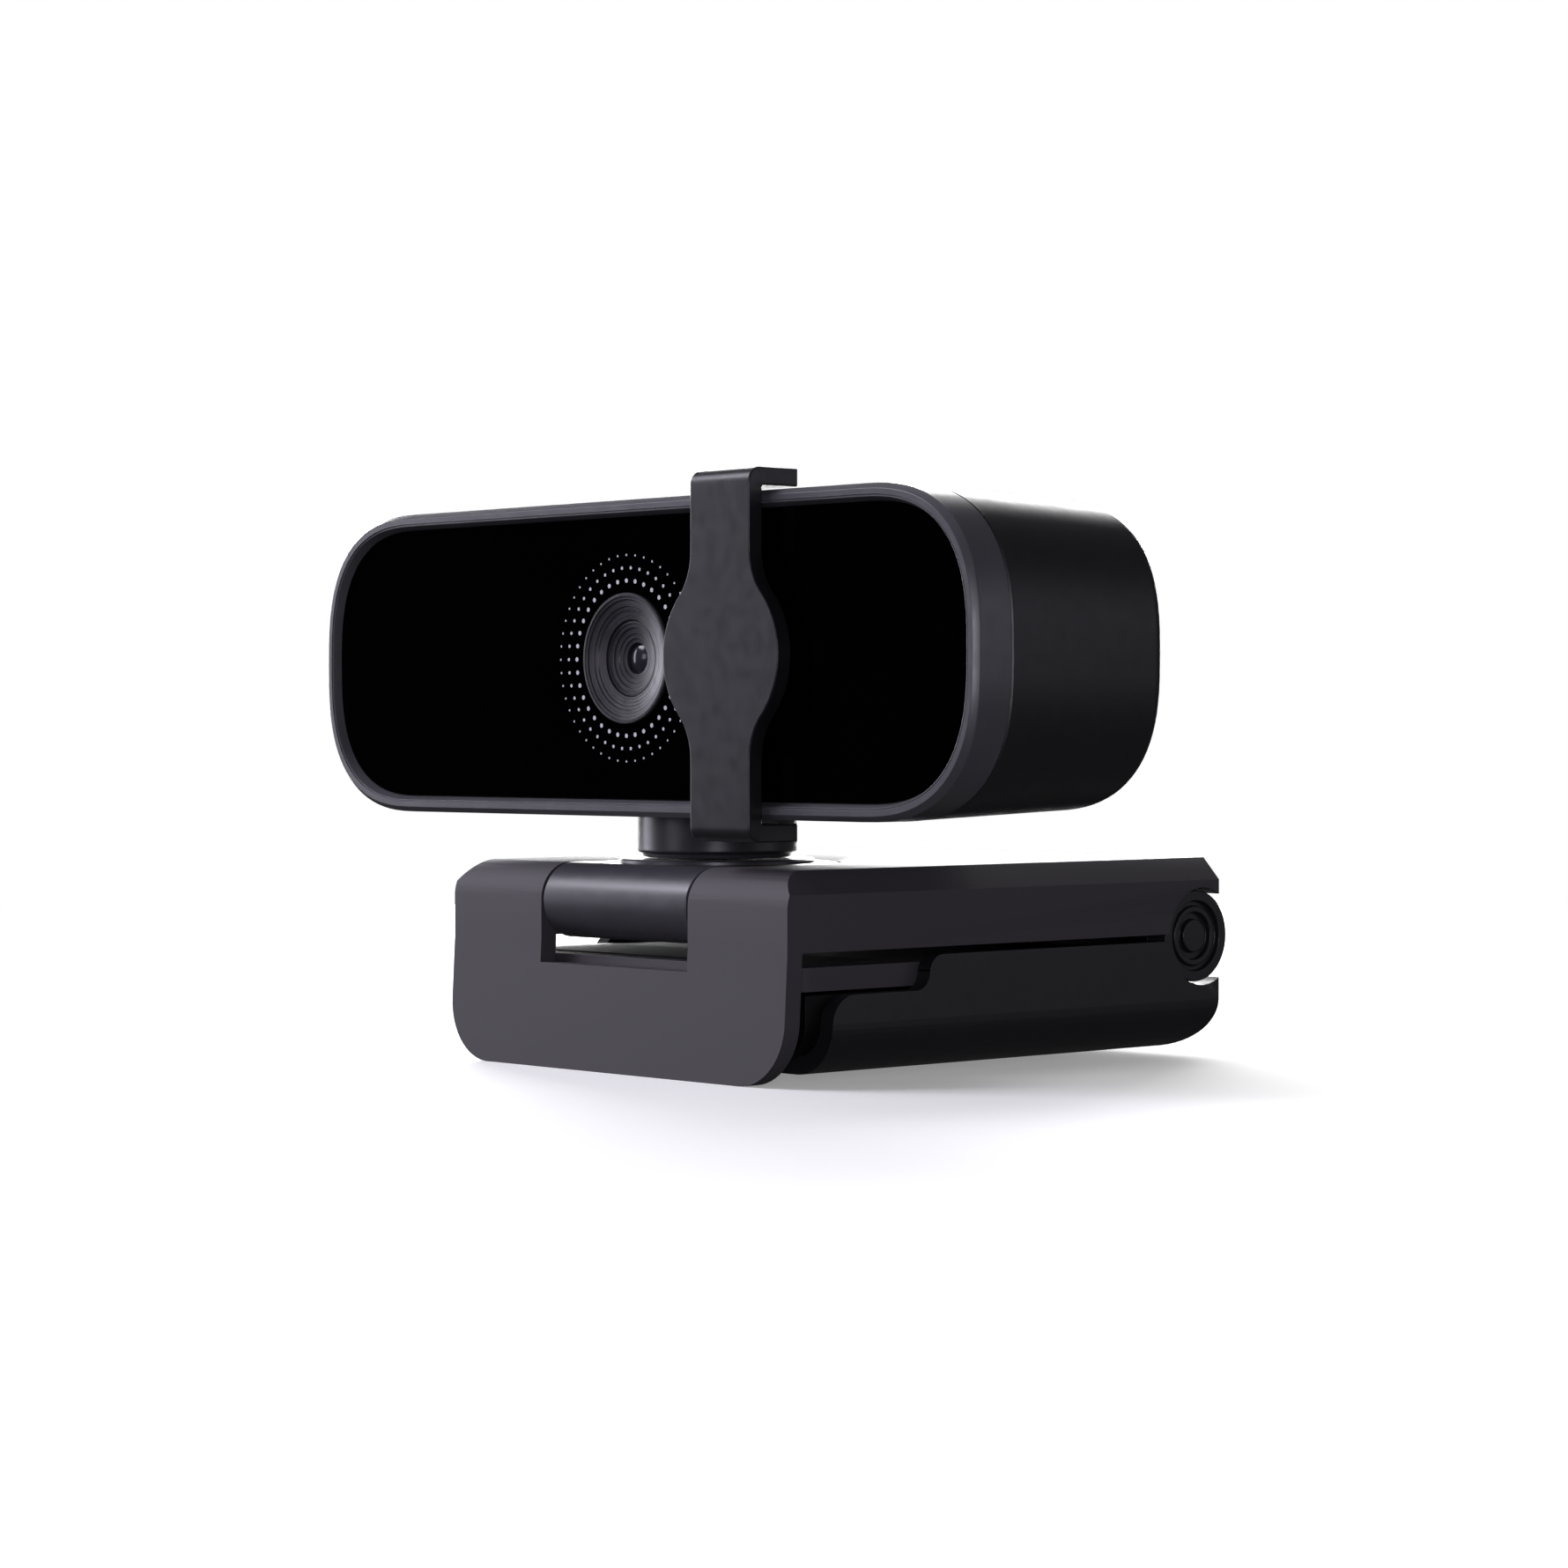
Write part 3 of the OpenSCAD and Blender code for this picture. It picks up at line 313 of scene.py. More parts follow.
def node_material(name):
    """A new node material, with its node tree and its shader."""
    material = bpy.data.materials.new(name)
    material.use_nodes = True
    tree = material.node_tree
    shader = tree.nodes["Principled BSDF"]
    return material, tree, shader


def noise(tree, scale, detail=3.0, rough=0.55):
    """Noise on Object coordinates, scale in cycles a metre."""
    place = tree.nodes.get("place") or tree.nodes.new("ShaderNodeTexCoord")
    place.name = "place"
    texture = tree.nodes.new("ShaderNodeTexNoise")
    texture.inputs["Scale"].default_value = scale
    texture.inputs["Detail"].default_value = detail
    texture.inputs["Roughness"].default_value = rough
    tree.links.new(place.outputs["Object"], texture.inputs["Vector"])
    return texture.outputs["Fac"]


def ramp(tree, value, low, high, to_low, to_high):
    """Maps a value from one range to another."""
    mapper = tree.nodes.new("ShaderNodeMapRange")
    for name, number in (("From Min", low), ("From Max", high), ("To Min", to_low), ("To Max", to_high)):
        mapper.inputs[name].default_value = number
    tree.links.new(value, mapper.inputs["Value"])
    return mapper.outputs["Result"]


def mix(tree, factor, first, second):
    """Mixes two linear colours by a factor socket."""
    mixer = tree.nodes.new("ShaderNodeMix")
    mixer.data_type = "RGBA"
    for socket, value in ((6, first), (7, second)):
        if isinstance(value, bpy.types.NodeSocket):
            tree.links.new(value, mixer.inputs[socket])
        else:
            mixer.inputs[socket].default_value = (*value, 1)
    tree.links.new(factor, mixer.inputs[0])
    return mixer.outputs[2]


def edge_mask(tree, radius):
    """Near 1 where a surface turns sharply: how far its rounded normal leans from its own."""
    rounded = tree.nodes.new("ShaderNodeBevel")
    rounded.samples = 4
    rounded.inputs["Radius"].default_value = radius
    plain = tree.nodes.new("ShaderNodeNewGeometry")
    dot = tree.nodes.new("ShaderNodeVectorMath")
    dot.operation = "DOT_PRODUCT"
    tree.links.new(rounded.outputs["Normal"], dot.inputs[0])
    tree.links.new(plain.outputs["Normal"], dot.inputs[1])
    return ramp(tree, dot.outputs["Value"], 0.995, 0.80, 0.0, 1.0)


def bump(tree, shader, height, distance, strength):
    """Raises a height socket into the shader's normal, distance in metres."""
    lift = tree.nodes.new("ShaderNodeBump")
    lift.inputs["Distance"].default_value = distance
    lift.inputs["Strength"].default_value = strength
    tree.links.new(height, lift.inputs["Height"])
    tree.links.new(lift.outputs["Normal"], shader.inputs["Normal"])


def moulded(name, colour, roughness=0.42, grain=7000, depth=0.005, edge=0.35, level=0.5):
    """Satin moulded plastic: fine spark-eroded grain, faint mottling, and a painted highlight that makes
    sharp edges a little lighter.
    """
    material, tree, shader = node_material(name)
    colour = np.array(colour)
    mottle = mix(tree, ramp(tree, noise(tree, 220), 0.3, 0.7, 0.0, 1.0),
                 tuple(colour * 0.93), tuple(colour * 1.07))
    # Painted highlight: where the surface turns sharply, the colour is mixed towards a lighter one, by up to
    # the edge factor.
    edge_highlight = mix(tree, ramp(tree, edge_mask(tree, 0.25 * MM), 0, 1, 0, edge), mottle,
               tuple(np.minimum(colour * 2.1 + 0.01, 1)))
    tree.links.new(edge_highlight, shader.inputs["Base Color"])
    tree.links.new(ramp(tree, noise(tree, 700), 0.25, 0.75, roughness - 0.04, roughness + 0.05),
                   shader.inputs["Roughness"])
    shader.inputs["Specular IOR Level"].default_value = level
    bump(tree, shader, noise(tree, grain, 2), depth * MM, 0.5)
    return material


def glossy(name, colour, roughness, level):
    """Polished sheet: nearly black, with the faint waviness and fine wipe marks of a real panel."""
    material, tree, shader = node_material(name)
    colour = np.array(colour)
    tint = mix(tree, ramp(tree, noise(tree, 60), 0.35, 0.65, 0, 1), tuple(colour * 0.8), tuple(colour * 1.2))
    tree.links.new(tint, shader.inputs["Base Color"])
    tree.links.new(ramp(tree, noise(tree, 1500, 5), 0.3, 0.7, roughness * 0.8, roughness * 1.4),
                   shader.inputs["Roughness"])
    shader.inputs["Specular IOR Level"].default_value = level
    bump(tree, shader, noise(tree, 90, 1), 0.002 * MM, 0.2)
    return material


def turned(name, colour):
    """Satin lens trim with fine rings turned about the lens axis."""
    material, tree, shader = node_material(name)
    colour = np.array(colour)
    tint = mix(tree, ramp(tree, noise(tree, 500), 0.3, 0.7, 0, 1),
               tuple(colour * 0.85), tuple(colour * 1.15))
    tree.links.new(tint, shader.inputs["Base Color"])
    tree.links.new(ramp(tree, noise(tree, 900), 0.3, 0.7, 0.30, 0.40), shader.inputs["Roughness"])
    shader.inputs["Specular IOR Level"].default_value = 0.35
    shift = tree.nodes.new("ShaderNodeMapping")
    shift.inputs["Location"].default_value = (0, 0, -LENS_Z)
    tree.links.new(tree.nodes["place"].outputs["Object"], shift.inputs["Vector"])
    rings = tree.nodes.new("ShaderNodeTexWave")
    rings.wave_type = "RINGS"
    rings.rings_direction = "Y"
    rings.inputs["Scale"].default_value = 900
    rings.inputs["Distortion"].default_value = 0.4
    tree.links.new(shift.outputs["Vector"], rings.inputs["Vector"])
    bump(tree, shader, rings.outputs["Fac"], 0.012 * MM, 0.5)
    return material


def metal(name, colour, roughness, grain=4000):
    """Plated or turned metal with fine tool marks."""
    material, tree, shader = node_material(name)
    colour = np.array(colour)
    tint = mix(tree, ramp(tree, noise(tree, 900), 0.3, 0.7, 0, 1), tuple(colour * 0.85), tuple(colour))
    tree.links.new(tint, shader.inputs["Base Color"])
    shader.inputs["Metallic"].default_value = 1.0
    tree.links.new(ramp(tree, noise(tree, grain, 4), 0.3, 0.7, roughness - 0.06, roughness + 0.08),
                   shader.inputs["Roughness"])
    bump(tree, shader, noise(tree, grain, 3), 0.004 * MM, 0.3)
    return material


def rubber(name, colour):
    """Matt rubber with a dusty open grain."""
    material, tree, shader = node_material(name)
    colour = np.array(colour)
    tint = mix(tree, ramp(tree, noise(tree, 2500, 4), 0.35, 0.65, 0, 1), tuple(colour), tuple(colour * 1.5))
    tree.links.new(tint, shader.inputs["Base Color"])
    tree.links.new(ramp(tree, noise(tree, 1200), 0.3, 0.7, 0.72, 0.86), shader.inputs["Roughness"])
    bump(tree, shader, noise(tree, 5000, 4), 0.02 * MM, 0.6)
    return material


def coated_glass(name):
    """Lens glass: dark, clear-coated, with a faint purple coating that shifts with noise."""
    material, tree, shader = node_material(name)
    tint = mix(tree, ramp(tree, noise(tree, 300), 0.3, 0.7, 0, 1),
               (0.016, 0.016, 0.021), (0.024, 0.021, 0.031))
    tree.links.new(tint, shader.inputs["Base Color"])
    tree.links.new(ramp(tree, noise(tree, 1500), 0.3, 0.7, 0.12, 0.18), shader.inputs["Roughness"])
    shader.inputs["Specular IOR Level"].default_value = 0.25
    return material


# ---- operators ----

def looks(name):
    """A property group of this add-on on the scene."""
    return getattr(bpy.context.scene, "webcam_" + name)


class BuildOperator(bpy.types.Operator):
    """Shared shell of the build steps: runs build and reports done."""

    bl_options = {"REGISTER", "UNDO"}

    def execute(self, context):
        self.build()
        return {"FINISHED"}


class WEBCAM_OT_shell(BuildOperator):
    """Rear shell of the head, lofted round the head's outline from seam to rounded back"""

    bl_idname = "webcam.shell"
    bl_label = "Rear shell"

    def build(self):
        h = looks("head")
        edge = 0.14 * MM
        inner_back = BACK_Y - h.wall
        turn = np.radians(np.linspace(90, 0, 9))
        outer = [(h.draft + h.back_round * (1 - math.cos(a)), BACK_Y - h.back_round * (1 - math.sin(a)))
                 for a in turn]
        inner_round = max(h.back_round - h.wall, 0.6 * MM)
        inner = [(h.wall + h.draft + inner_round * (1 - math.cos(a)),
                  inner_back - inner_round * (1 - math.sin(a))) for a in turn[::-1]]
        flat = [(h.draft + h.back_round + 3 * MM, BACK_Y)]
        lip = [(0.04 * MM, SEAM_Y + 2 * edge), (0.02 * MM, SEAM_Y + edge), (edge, SEAM_Y), (h.wall, SEAM_Y)]
        inner_flat = [(h.wall + h.draft + inner_round + 2 * MM, inner_back)]
        rows = head_loops(flat + outer + lip + inner + inner_flat, h.corner)
        faces = grid_faces(len(rows), rows.shape[1])
        shell = put("head_shell", rows.reshape(-1, 3), faces, "head")
        screw_x = SCREWS_RIGHT - 1.5 * MM
        gland_r = (GLAND_HIGH[0] - GLAND_LOW[0]) / 2 - 0.8 * MM
        holes = [((x, BACK_Y, LENS_Z), 1.7 * MM, 4 * MM) for x in (-screw_x, screw_x)]
        holes.append(((0, BACK_Y, LENS_Z), gland_r, 4 * MM))
        drill(shell, holes, "Y")
        neck_hole = looks("clip").neck_radius + 0.05 * MM
        drill(shell, [((0, NECK_Y, SHELL_LOW[2]), neck_hole, 3 * MM)], "Z")
        dress(shell, moulded("shell_plastic", h.shell_tone, 0.40, edge=0.2), "shell_plastic", "rear_shell")


class WEBCAM_OT_bezel(BuildOperator):
    """Bezel ring, one closed profile carried round the head's outline"""

    bl_idname = "webcam.bezel"
    bl_label = "Front bezel"

    def build(self):
        h = looks("head")
        gap = 0.1 * MM
        edge = 0.07 * MM
        start = h.chamfer + h.face
        inner_y = GLASS_LOW[1]
        profile = [
            (0.10 * MM, SEAM_Y - gap), (0, SEAM_Y - gap - 0.1 * MM), (0, RIM_Y + h.chamfer + edge),
            (edge * 0.7, RIM_Y + h.chamfer - edge * 0.5), (h.chamfer - edge, RIM_Y + edge * 0.5),
            (h.chamfer, RIM_Y), (start - 0.03 * MM, RIM_Y), (start, RIM_Y + 0.03 * MM),
            (start + 0.02 * MM, RIM_Y + h.groove), (start + h.groove, RIM_Y + h.groove),
            (start + h.groove + 0.02 * MM, RIM_Y + 0.06 * MM),
            (start + h.groove + 0.06 * MM, RIM_Y + 0.07 * MM),
            (h.rim, inner_y), (h.rim + 0.1 * MM, inner_y + 0.5 * MM),
            (h.rim + 1.4 * MM, inner_y + 1.5 * MM), (h.rim + 1.4 * MM, SEAM_Y - gap),
        ]
        rows = head_loops(profile, h.corner)
        faces = grid_faces(len(rows), rows.shape[1], closed_rows=True)
        ring = put("bezel_ring", rows.reshape(-1, 3), faces, "head", angle=24)
        dress(ring, moulded("rim_plastic", h.rim_tone, 0.36, edge=0.25), "rim_plastic", "front_bezel")


class WEBCAM_OT_glass(BuildOperator):
    """Front glass: rings between the lens hole and the rounded outline, with its edge turned back"""

    bl_idname = "webcam.glass"
    bl_label = "Front glass"

    def build(self):
        h = looks("head")
        y0, y1 = GLASS_LOW[1], GLASS_HIGH[1]
        edge = 0.08 * MM
        inset = h.rim + 0.05 * MM
        outer = head_loops([(inset, y1), (inset, y0 + edge), (inset + edge, y0)], h.corner)
        count = outer.shape[1]
        turn = np.linspace(0, 2 * math.pi, count, endpoint=False)
        hole = LENS_R + 0.06 * MM
        rings = []
        for radius, y in ((hole, y0), (hole, y1)):
            rings.append(np.stack([radius * np.cos(turn), np.full(count, y),
                                   radius * np.sin(turn) + LENS_Z], axis=1))
        rows = np.concatenate([outer, np.array(rings)])
        faces = grid_faces(len(rows), count, closed_rows=True)
        sheet = put("glass_panel", rows.reshape(-1, 3), faces, "head")
        dress(sheet, glossy("black_glass", (0.0003, 0.0003, 0.0004), 0.05, 0.02),
              "front_glass", "front_glass")


class WEBCAM_OT_dots(BuildOperator):
    """Three rings of printed dots: flat discs at equal angles, smaller ring by ring"""

    bl_idname = "webcam.dots"
    bl_label = "Printed dots"

    def build(self):
        h = looks("head")
        sides = 14
        lift = 0.02 * MM
        rim = np.arange(sides) * 2 * math.pi / sides
        verts, faces = [], []
        for ring in range(3):
            radius = h.dot_ring + ring * h.dot_step
            size_now = h.dot_radius * (1, 0.75, 0.5)[ring]
            count = h.dots + ring * h.more_dots
            for k in range(count):
                a = math.pi + 2 * math.pi * k / count
                start = len(verts)
                for y in (GLASS_LOW[1], GLASS_LOW[1] - lift):
                    x = radius * math.cos(a) + size_now * np.cos(rim)
                    z = LENS_Z + radius * math.sin(a) + size_now * np.sin(rim)
                    verts.extend(np.stack([x, np.full(sides, y), z], axis=1).tolist())
                faces.extend([start + s, start + (s + 1) % sides, start + sides + (s + 1) % sides,
                              start + sides + s] for s in range(sides))
                faces.append([start + s for s in range(sides)])
                faces.append([start + sides + s for s in range(sides)])
        dots = put("printed_dots", verts, faces, "head")
        dress(dots, moulded("dot_ink", h.dot_tone, 0.5, edge=0.0), "lens_trim")


class WEBCAM_OT_lens(BuildOperator):
    """Stepped lens surround, retainer and domed front element, all turned about the lens axis"""

    bl_idname = "webcam.lens"
    bl_label = "Lens"

    def build(self):
        h = looks("head")
        trim = turned("lens_turned", h.lens_tone)
        centre = (0, 0, LENS_Z)
        inner = (RETAINER_HIGH[0] - RETAINER_LOW[0]) / 2
        front = SURROUND_LOW[1] - 0.25 * MM
        profile, radius, y = self.stepped(LENS_R, front, (
            (0.10, 0.30, 0.04), (0.14, 0.62, 0.10), (0.10, 0.36, 0.06), (0.08, 0.90, 0.16)))
        profile += [(radius, SURROUND_HIGH[1])]
        dress(lathe("lens_steps", profile, centre, "Y", "head", closed=True, angle=20), trim,
              "lens_trim", "lens_surround")
        profile, radius, y = self.stepped(radius - 0.02 * MM, y + 0.18 * MM, (
            (0.10, 0.42, 0.05), (0.12, 0.50, 0.06), (0.08, 0.46, 0.05), (0.10, 0.40, 0.05)))
        profile += [(radius, RETAINER_HIGH[1] + 0.6 * MM)]
        dress(lathe("lens_cone", profile, centre, "Y", "head", closed=True, angle=20), trim,
              "lens_trim", "lens_retainer", "lens_barrel")
        eye = min(radius + 0.1 * MM, inner)
        crown = y + 0.02 * MM
        dome = eye * 1.9
        turn = np.linspace(0.02, math.asin(eye / dome), 12)
        cap = [(dome * math.sin(a), crown + dome * (1 - math.cos(a))) for a in turn]
        cap += [(eye, ELEMENT_BACK), (0.1 * MM, ELEMENT_BACK)]
        dress(lathe("front_lens", cap, centre, "Y", "head"), coated_glass("lens_coating"),
              "lens_glass", "lens_front_element")

    @staticmethod
    def stepped(outer, y, steps):
        """Profile of a funnel: each step is a drop, then a band of a given run that slopes on by a fall."""
        profile = [(outer, y + 1.6 * MM), (outer, y + 0.08 * MM), (outer - 0.08 * MM, y)]
        radius = outer - 0.30 * MM
        profile.append((radius, y))
        for drop, run, fall in steps:
            y += drop * MM
            profile.append((radius - 0.06 * MM, y))
            radius -= run * MM
            y += fall * MM
            profile.append((radius, y))
        return profile, radius, y


def flare_places(disc, look):
    """X and height of the flare circle's centre, and the height where it touches the disc."""
    flare_x = look.strip / 2 + look.flare
    flare_z = math.sqrt((disc + look.flare) ** 2 - flare_x ** 2)
    return flare_x, flare_z, flare_z * disc / (disc + look.flare)


def shutter_half_width(z, disc, look):
    """Half width at height z: the disc's circle, then a circle that flares into the straight strip."""
    z = abs(z)
    flare_x, flare_z, touch = flare_places(disc, look)
    if z >= flare_z:
        return look.strip / 2
    if z >= touch:
        return flare_x - math.sqrt(look.flare ** 2 - (flare_z - z) ** 2)
    return math.sqrt(disc ** 2 - z ** 2)


class WEBCAM_OT_shutter(BuildOperator):
    """Shutter: a rounded cross-section carried round the hooked side outline, as wide as strip or disc"""

    bl_idname = "webcam.shutter"
    bl_label = "Sliding shutter"

    def build(self):
        look = looks("shutter")
        front, back = SHUTTER_LOW[1], SHUTTER_HIGH[1]
        centre = (SHUTTER_LOW + SHUTTER_HIGH) / 2
        half = (SHUTTER_HIGH[2] - SHUTTER_LOW[2]) / 2
        disc = (SHUTTER_HIGH[0] - SHUTTER_LOW[0]) / 2
        t, bend, fillet = look.thickness, look.bend, 0.25 * MM
        turn = np.linspace(0, math.pi / 2, 9)
        upper = [((front, z), (front + t, z)) for z in self.heights(disc, look, half - t - fillet)]
        for a in turn:
            outside = (front + bend * (1 - math.cos(a)), half - bend * (1 - math.sin(a)))
            inside = (front + t + fillet * (1 - math.cos(a)), half - t - fillet * (1 - math.sin(a)))
            upper.append((outside, inside))
        for y in (front + t + 1 * MM, back - 0.3 * MM, back):
            upper.append(((y, half), (y, half - t)))
        lower = [((a[0], -a[1]), (b[0], -b[1])) for a, b in upper[:0:-1]]
        rows = [self.section(outside, inside, disc, look, centre) for outside, inside in lower + upper]
        rows = np.array(rows)
        faces = grid_faces(len(rows), rows.shape[1])
        piece = put("shutter_strip", rows.reshape(-1, 3), faces, "shutter")
        dress(piece, moulded("shutter_plastic", look.tone, 0.36, edge=0.5, level=0.40),
              "shutter_plastic", "shutter")

    @staticmethod
    def heights(disc, look, top):
        """Heights from the disc's centre up the strip, close together where the width changes fast."""
        sweep = disc * np.sin(np.linspace(0, math.pi / 2, 22)[:-1])
        flare_z, touch = flare_places(disc, look)[1:]
        low = sweep[sweep < touch]
        widest = math.asin((flare_z - touch) / look.flare)
        high = flare_z - look.flare * np.sin(np.linspace(widest, 0, 14))
        return [*low, *high, (flare_z + top) / 2, top]

    @staticmethod
    def section(outside, inside, disc, look, centre):
        """Rounded rectangle from the outer to the inner point; only the level front follows the disc."""
        outside, inside = np.array(outside), np.array(inside)
        depth = np.linalg.norm(inside - outside)
        step = (inside - outside) / depth
        on_front = abs(outside[1] - inside[1]) < 1e-6 * MM
        width = shutter_half_width(outside[1], disc, look) if on_front else look.strip / 2
        loop = rounded_loop(2 * width, depth, look.edge, steps=5)
        flat = outside + (loop[:, 1:] + depth / 2) * step
        return np.stack([loop[:, 0] + centre[0], flat[:, 0], flat[:, 1] + centre[2]], axis=1)


class WEBCAM_OT_neck(BuildOperator):
    """Neck column and swivel ring, turned about the neck axis"""

    bl_idname = "webcam.neck"
    bl_label = "Neck"

    def build(self):
        look = looks("clip")
        radius = look.neck_radius
        foot = RING_HIGH[2] + 0.1 * MM
        top = SHELL_LOW[2] + 2.6 * MM
        edge = 0.3 * MM
        centre = (0, NECK_Y, 0)
        column = [(1 * MM, foot), (radius - 0.9 * MM, foot), (radius - 0.55 * MM, foot + 0.05 * MM)]
        column += [(radius - 0.45 * MM, foot + 0.38 * MM)]
        column += arc((radius - edge, foot + 0.45 * MM + edge), edge, -90, 0)
        column += [(radius, top), (1 * MM, top)]
        plastic = moulded("neck_plastic", look.neck_tone, 0.36, edge=0.25)
        dress(lathe("neck_column", column, centre, "Z", "head"), plastic, "neck_plastic", "neck")
        outer = (RING_HIGH[0] - RING_LOW[0]) / 2
        low, high = RING_LOW[2], RING_HIGH[2]
        bore, slope = 4.4 * MM, 0.15 * MM
        ring = [(bore, low), (outer, low), (outer, high - slope), (outer - slope, high), (bore, high)]
        dress(lathe("swivel_disc", ring, centre, "Z", "leaf", closed=True), plastic,
              "shell_plastic", "swivel_ring")


class CopyOperator(BuildOperator):
    """Shared shell of the steps that round the edges of frame nodes."""

    body = ""
    nodes = ()

    def build(self):
        look = looks("clip")
        for node, fine, paint, slot in self.nodes:
            soft_copy(node, look.fine if fine else look.soft, paint_of(paint), slot, self.body)


def paint_of(name):
    """The shared material of that name, made once."""
    found = bpy.data.materials.get(name)
    look = looks("clip")
    makers = {
        "clip_plastic": lambda: moulded(name, look.clip_tone, 0.34),
        # Painted highlight: the leaf is the clip's plastic made 1.5 times lighter, standing in for the light
        # on its barrel.
        "leaf_lit_plastic": lambda: moulded(name, tuple(1.5 * c for c in look.clip_tone), 0.33),
        "arm_plastic": lambda: moulded(name, look.arm_tone, 0.42, edge=0.22),
        "core_plastic": lambda: moulded(name, look.core_tone, 0.55, edge=0.05, level=0.2),
        "pad_rubber": lambda: rubber(name, (0.008, 0.008, 0.009)),
        "socket_brass": lambda: metal(name, (0.62, 0.46, 0.20), 0.30),
        "black_screw": lambda: metal(name, (0.05, 0.05, 0.055), 0.42),
        "plated_steel": lambda: metal(name, (0.55, 0.55, 0.57), 0.28),
        "board_mask": lambda: moulded(name, (0.01, 0.07, 0.035), 0.35, edge=0.1),
        "chip_epoxy": lambda: moulded(name, (0.012, 0.012, 0.013), 0.5, edge=0.1),
        "nylon": lambda: moulded(name, (0.70, 0.67, 0.58), 0.5, edge=0.1),
        "lens_coating": lambda: coated_glass(name),
    }
    return found or makers[name]()


class WEBCAM_OT_leaf(CopyOperator):
    """Tilt leaf with its front barrel"""

    bl_idname = "webcam.leaf"
    bl_label = "Tilt leaf"
    body = "leaf"
    nodes = (("tilt_leaf", True, "leaf_lit_plastic", "clip_plastic"),)


class WEBCAM_OT_clip(CopyOperator):
    """Clip body, cover, pads, cover screws and hinge caps"""

    bl_idname = "webcam.clip"
    bl_label = "Clip"
    body = "clip"
    nodes = (
        ("clip_body", False, "clip_plastic", "clip_plastic"),
        ("clip_cover", True, "core_plastic", "inner_plastic"),
        ("lip_pad", True, "pad_rubber", "black_rubber"),
        ("jaw_pad", True, "pad_rubber", "black_rubber"),
        ("cover_screws", True, "black_screw", "dark_screw"),
        ("hinge_caps", True, "arm_plastic", "cap_plastic"),
    )


class WEBCAM_OT_arm(CopyOperator):
    """Arm shell, its core, the tripod socket and its screws"""

    bl_idname = "webcam.arm"
    bl_label = "Folding arm"
    body = "arm"
    nodes = (
        ("arm_shell", False, "arm_plastic", "shell_plastic"),
        ("arm_core", True, "core_plastic", "inner_plastic"),
        ("tripod_insert", True, "socket_brass", "brass"),
        ("arm_screws", True, "black_screw", "dark_screw"),
    )


class WEBCAM_OT_foot(CopyOperator):
    """Folding foot and its rubber pad"""

    bl_idname = "webcam.foot"
    bl_label = "Folding foot"
    body = "foot"
    nodes = (
        ("foot_plate", False, "clip_plastic", "clip_plastic"),
        ("foot_pad", True, "pad_rubber", "black_rubber"),
    )


class WEBCAM_OT_gland(CopyOperator):
    """Cable gland and shell screws at the back of the head"""

    bl_idname = "webcam.gland"
    bl_label = "Gland and screws"
    body = "head"
    nodes = (
        ("cable_gland", True, "pad_rubber", "black_rubber"),
        ("shell_screws", True, "black_screw", "dark_screw"),
    )


INNER_PAINT = {
    "glass_tape": "pad_rubber", "lens_rear_element": "lens_coating", "infrared_filter": "lens_coating",
    "lens_holder": "core_plastic", "image_sensor": "chip_epoxy", "main_board": "board_mask",
    "video_chip": "chip_epoxy", "cable_connector": "nylon", "microphones": "plated_steel",
    "microphone_boots": "pad_rubber", "heat_plate": "plated_steel", "board_screws": "plated_steel",
    "neck_screws": "plated_steel", "swivel_spring": "plated_steel", "swivel_screw": "plated_steel",
    "tilt_sleeve": "plated_steel", "tilt_pin": "plated_steel", "hinge_pin": "plated_steel",
    "hinge_sleeve": "plated_steel", "foot_pin": "plated_steel",
}


class WEBCAM_OT_inner(BuildOperator):
    """Materials of the pieces that stay as the frame has them"""

    bl_idname = "webcam.inner"
    bl_label = "Inner pieces"

    def build(self):
        for node, paint in INNER_PAINT.items():
            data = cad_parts[node].data
            data.materials.clear()
            data.materials.append(paint_of(paint))


# ---- stage ----

def soft_light(name, place, target, width, height, power, colour=(1, 1, 1)):
    """An area light at a place, facing a target."""
    data = bpy.data.lights.new(name, "AREA")
    data.shape = "RECTANGLE"
    data.size, data.size_y = width, height
    data.energy = power
    data.color = colour
    light = bpy.data.objects.new(name, data)
    light.location = place
    light.rotation_euler = (Vector(target) - Vector(place)).to_track_quat("-Z", "Y").to_euler()
    bpy.context.scene.collection.objects.link(light)


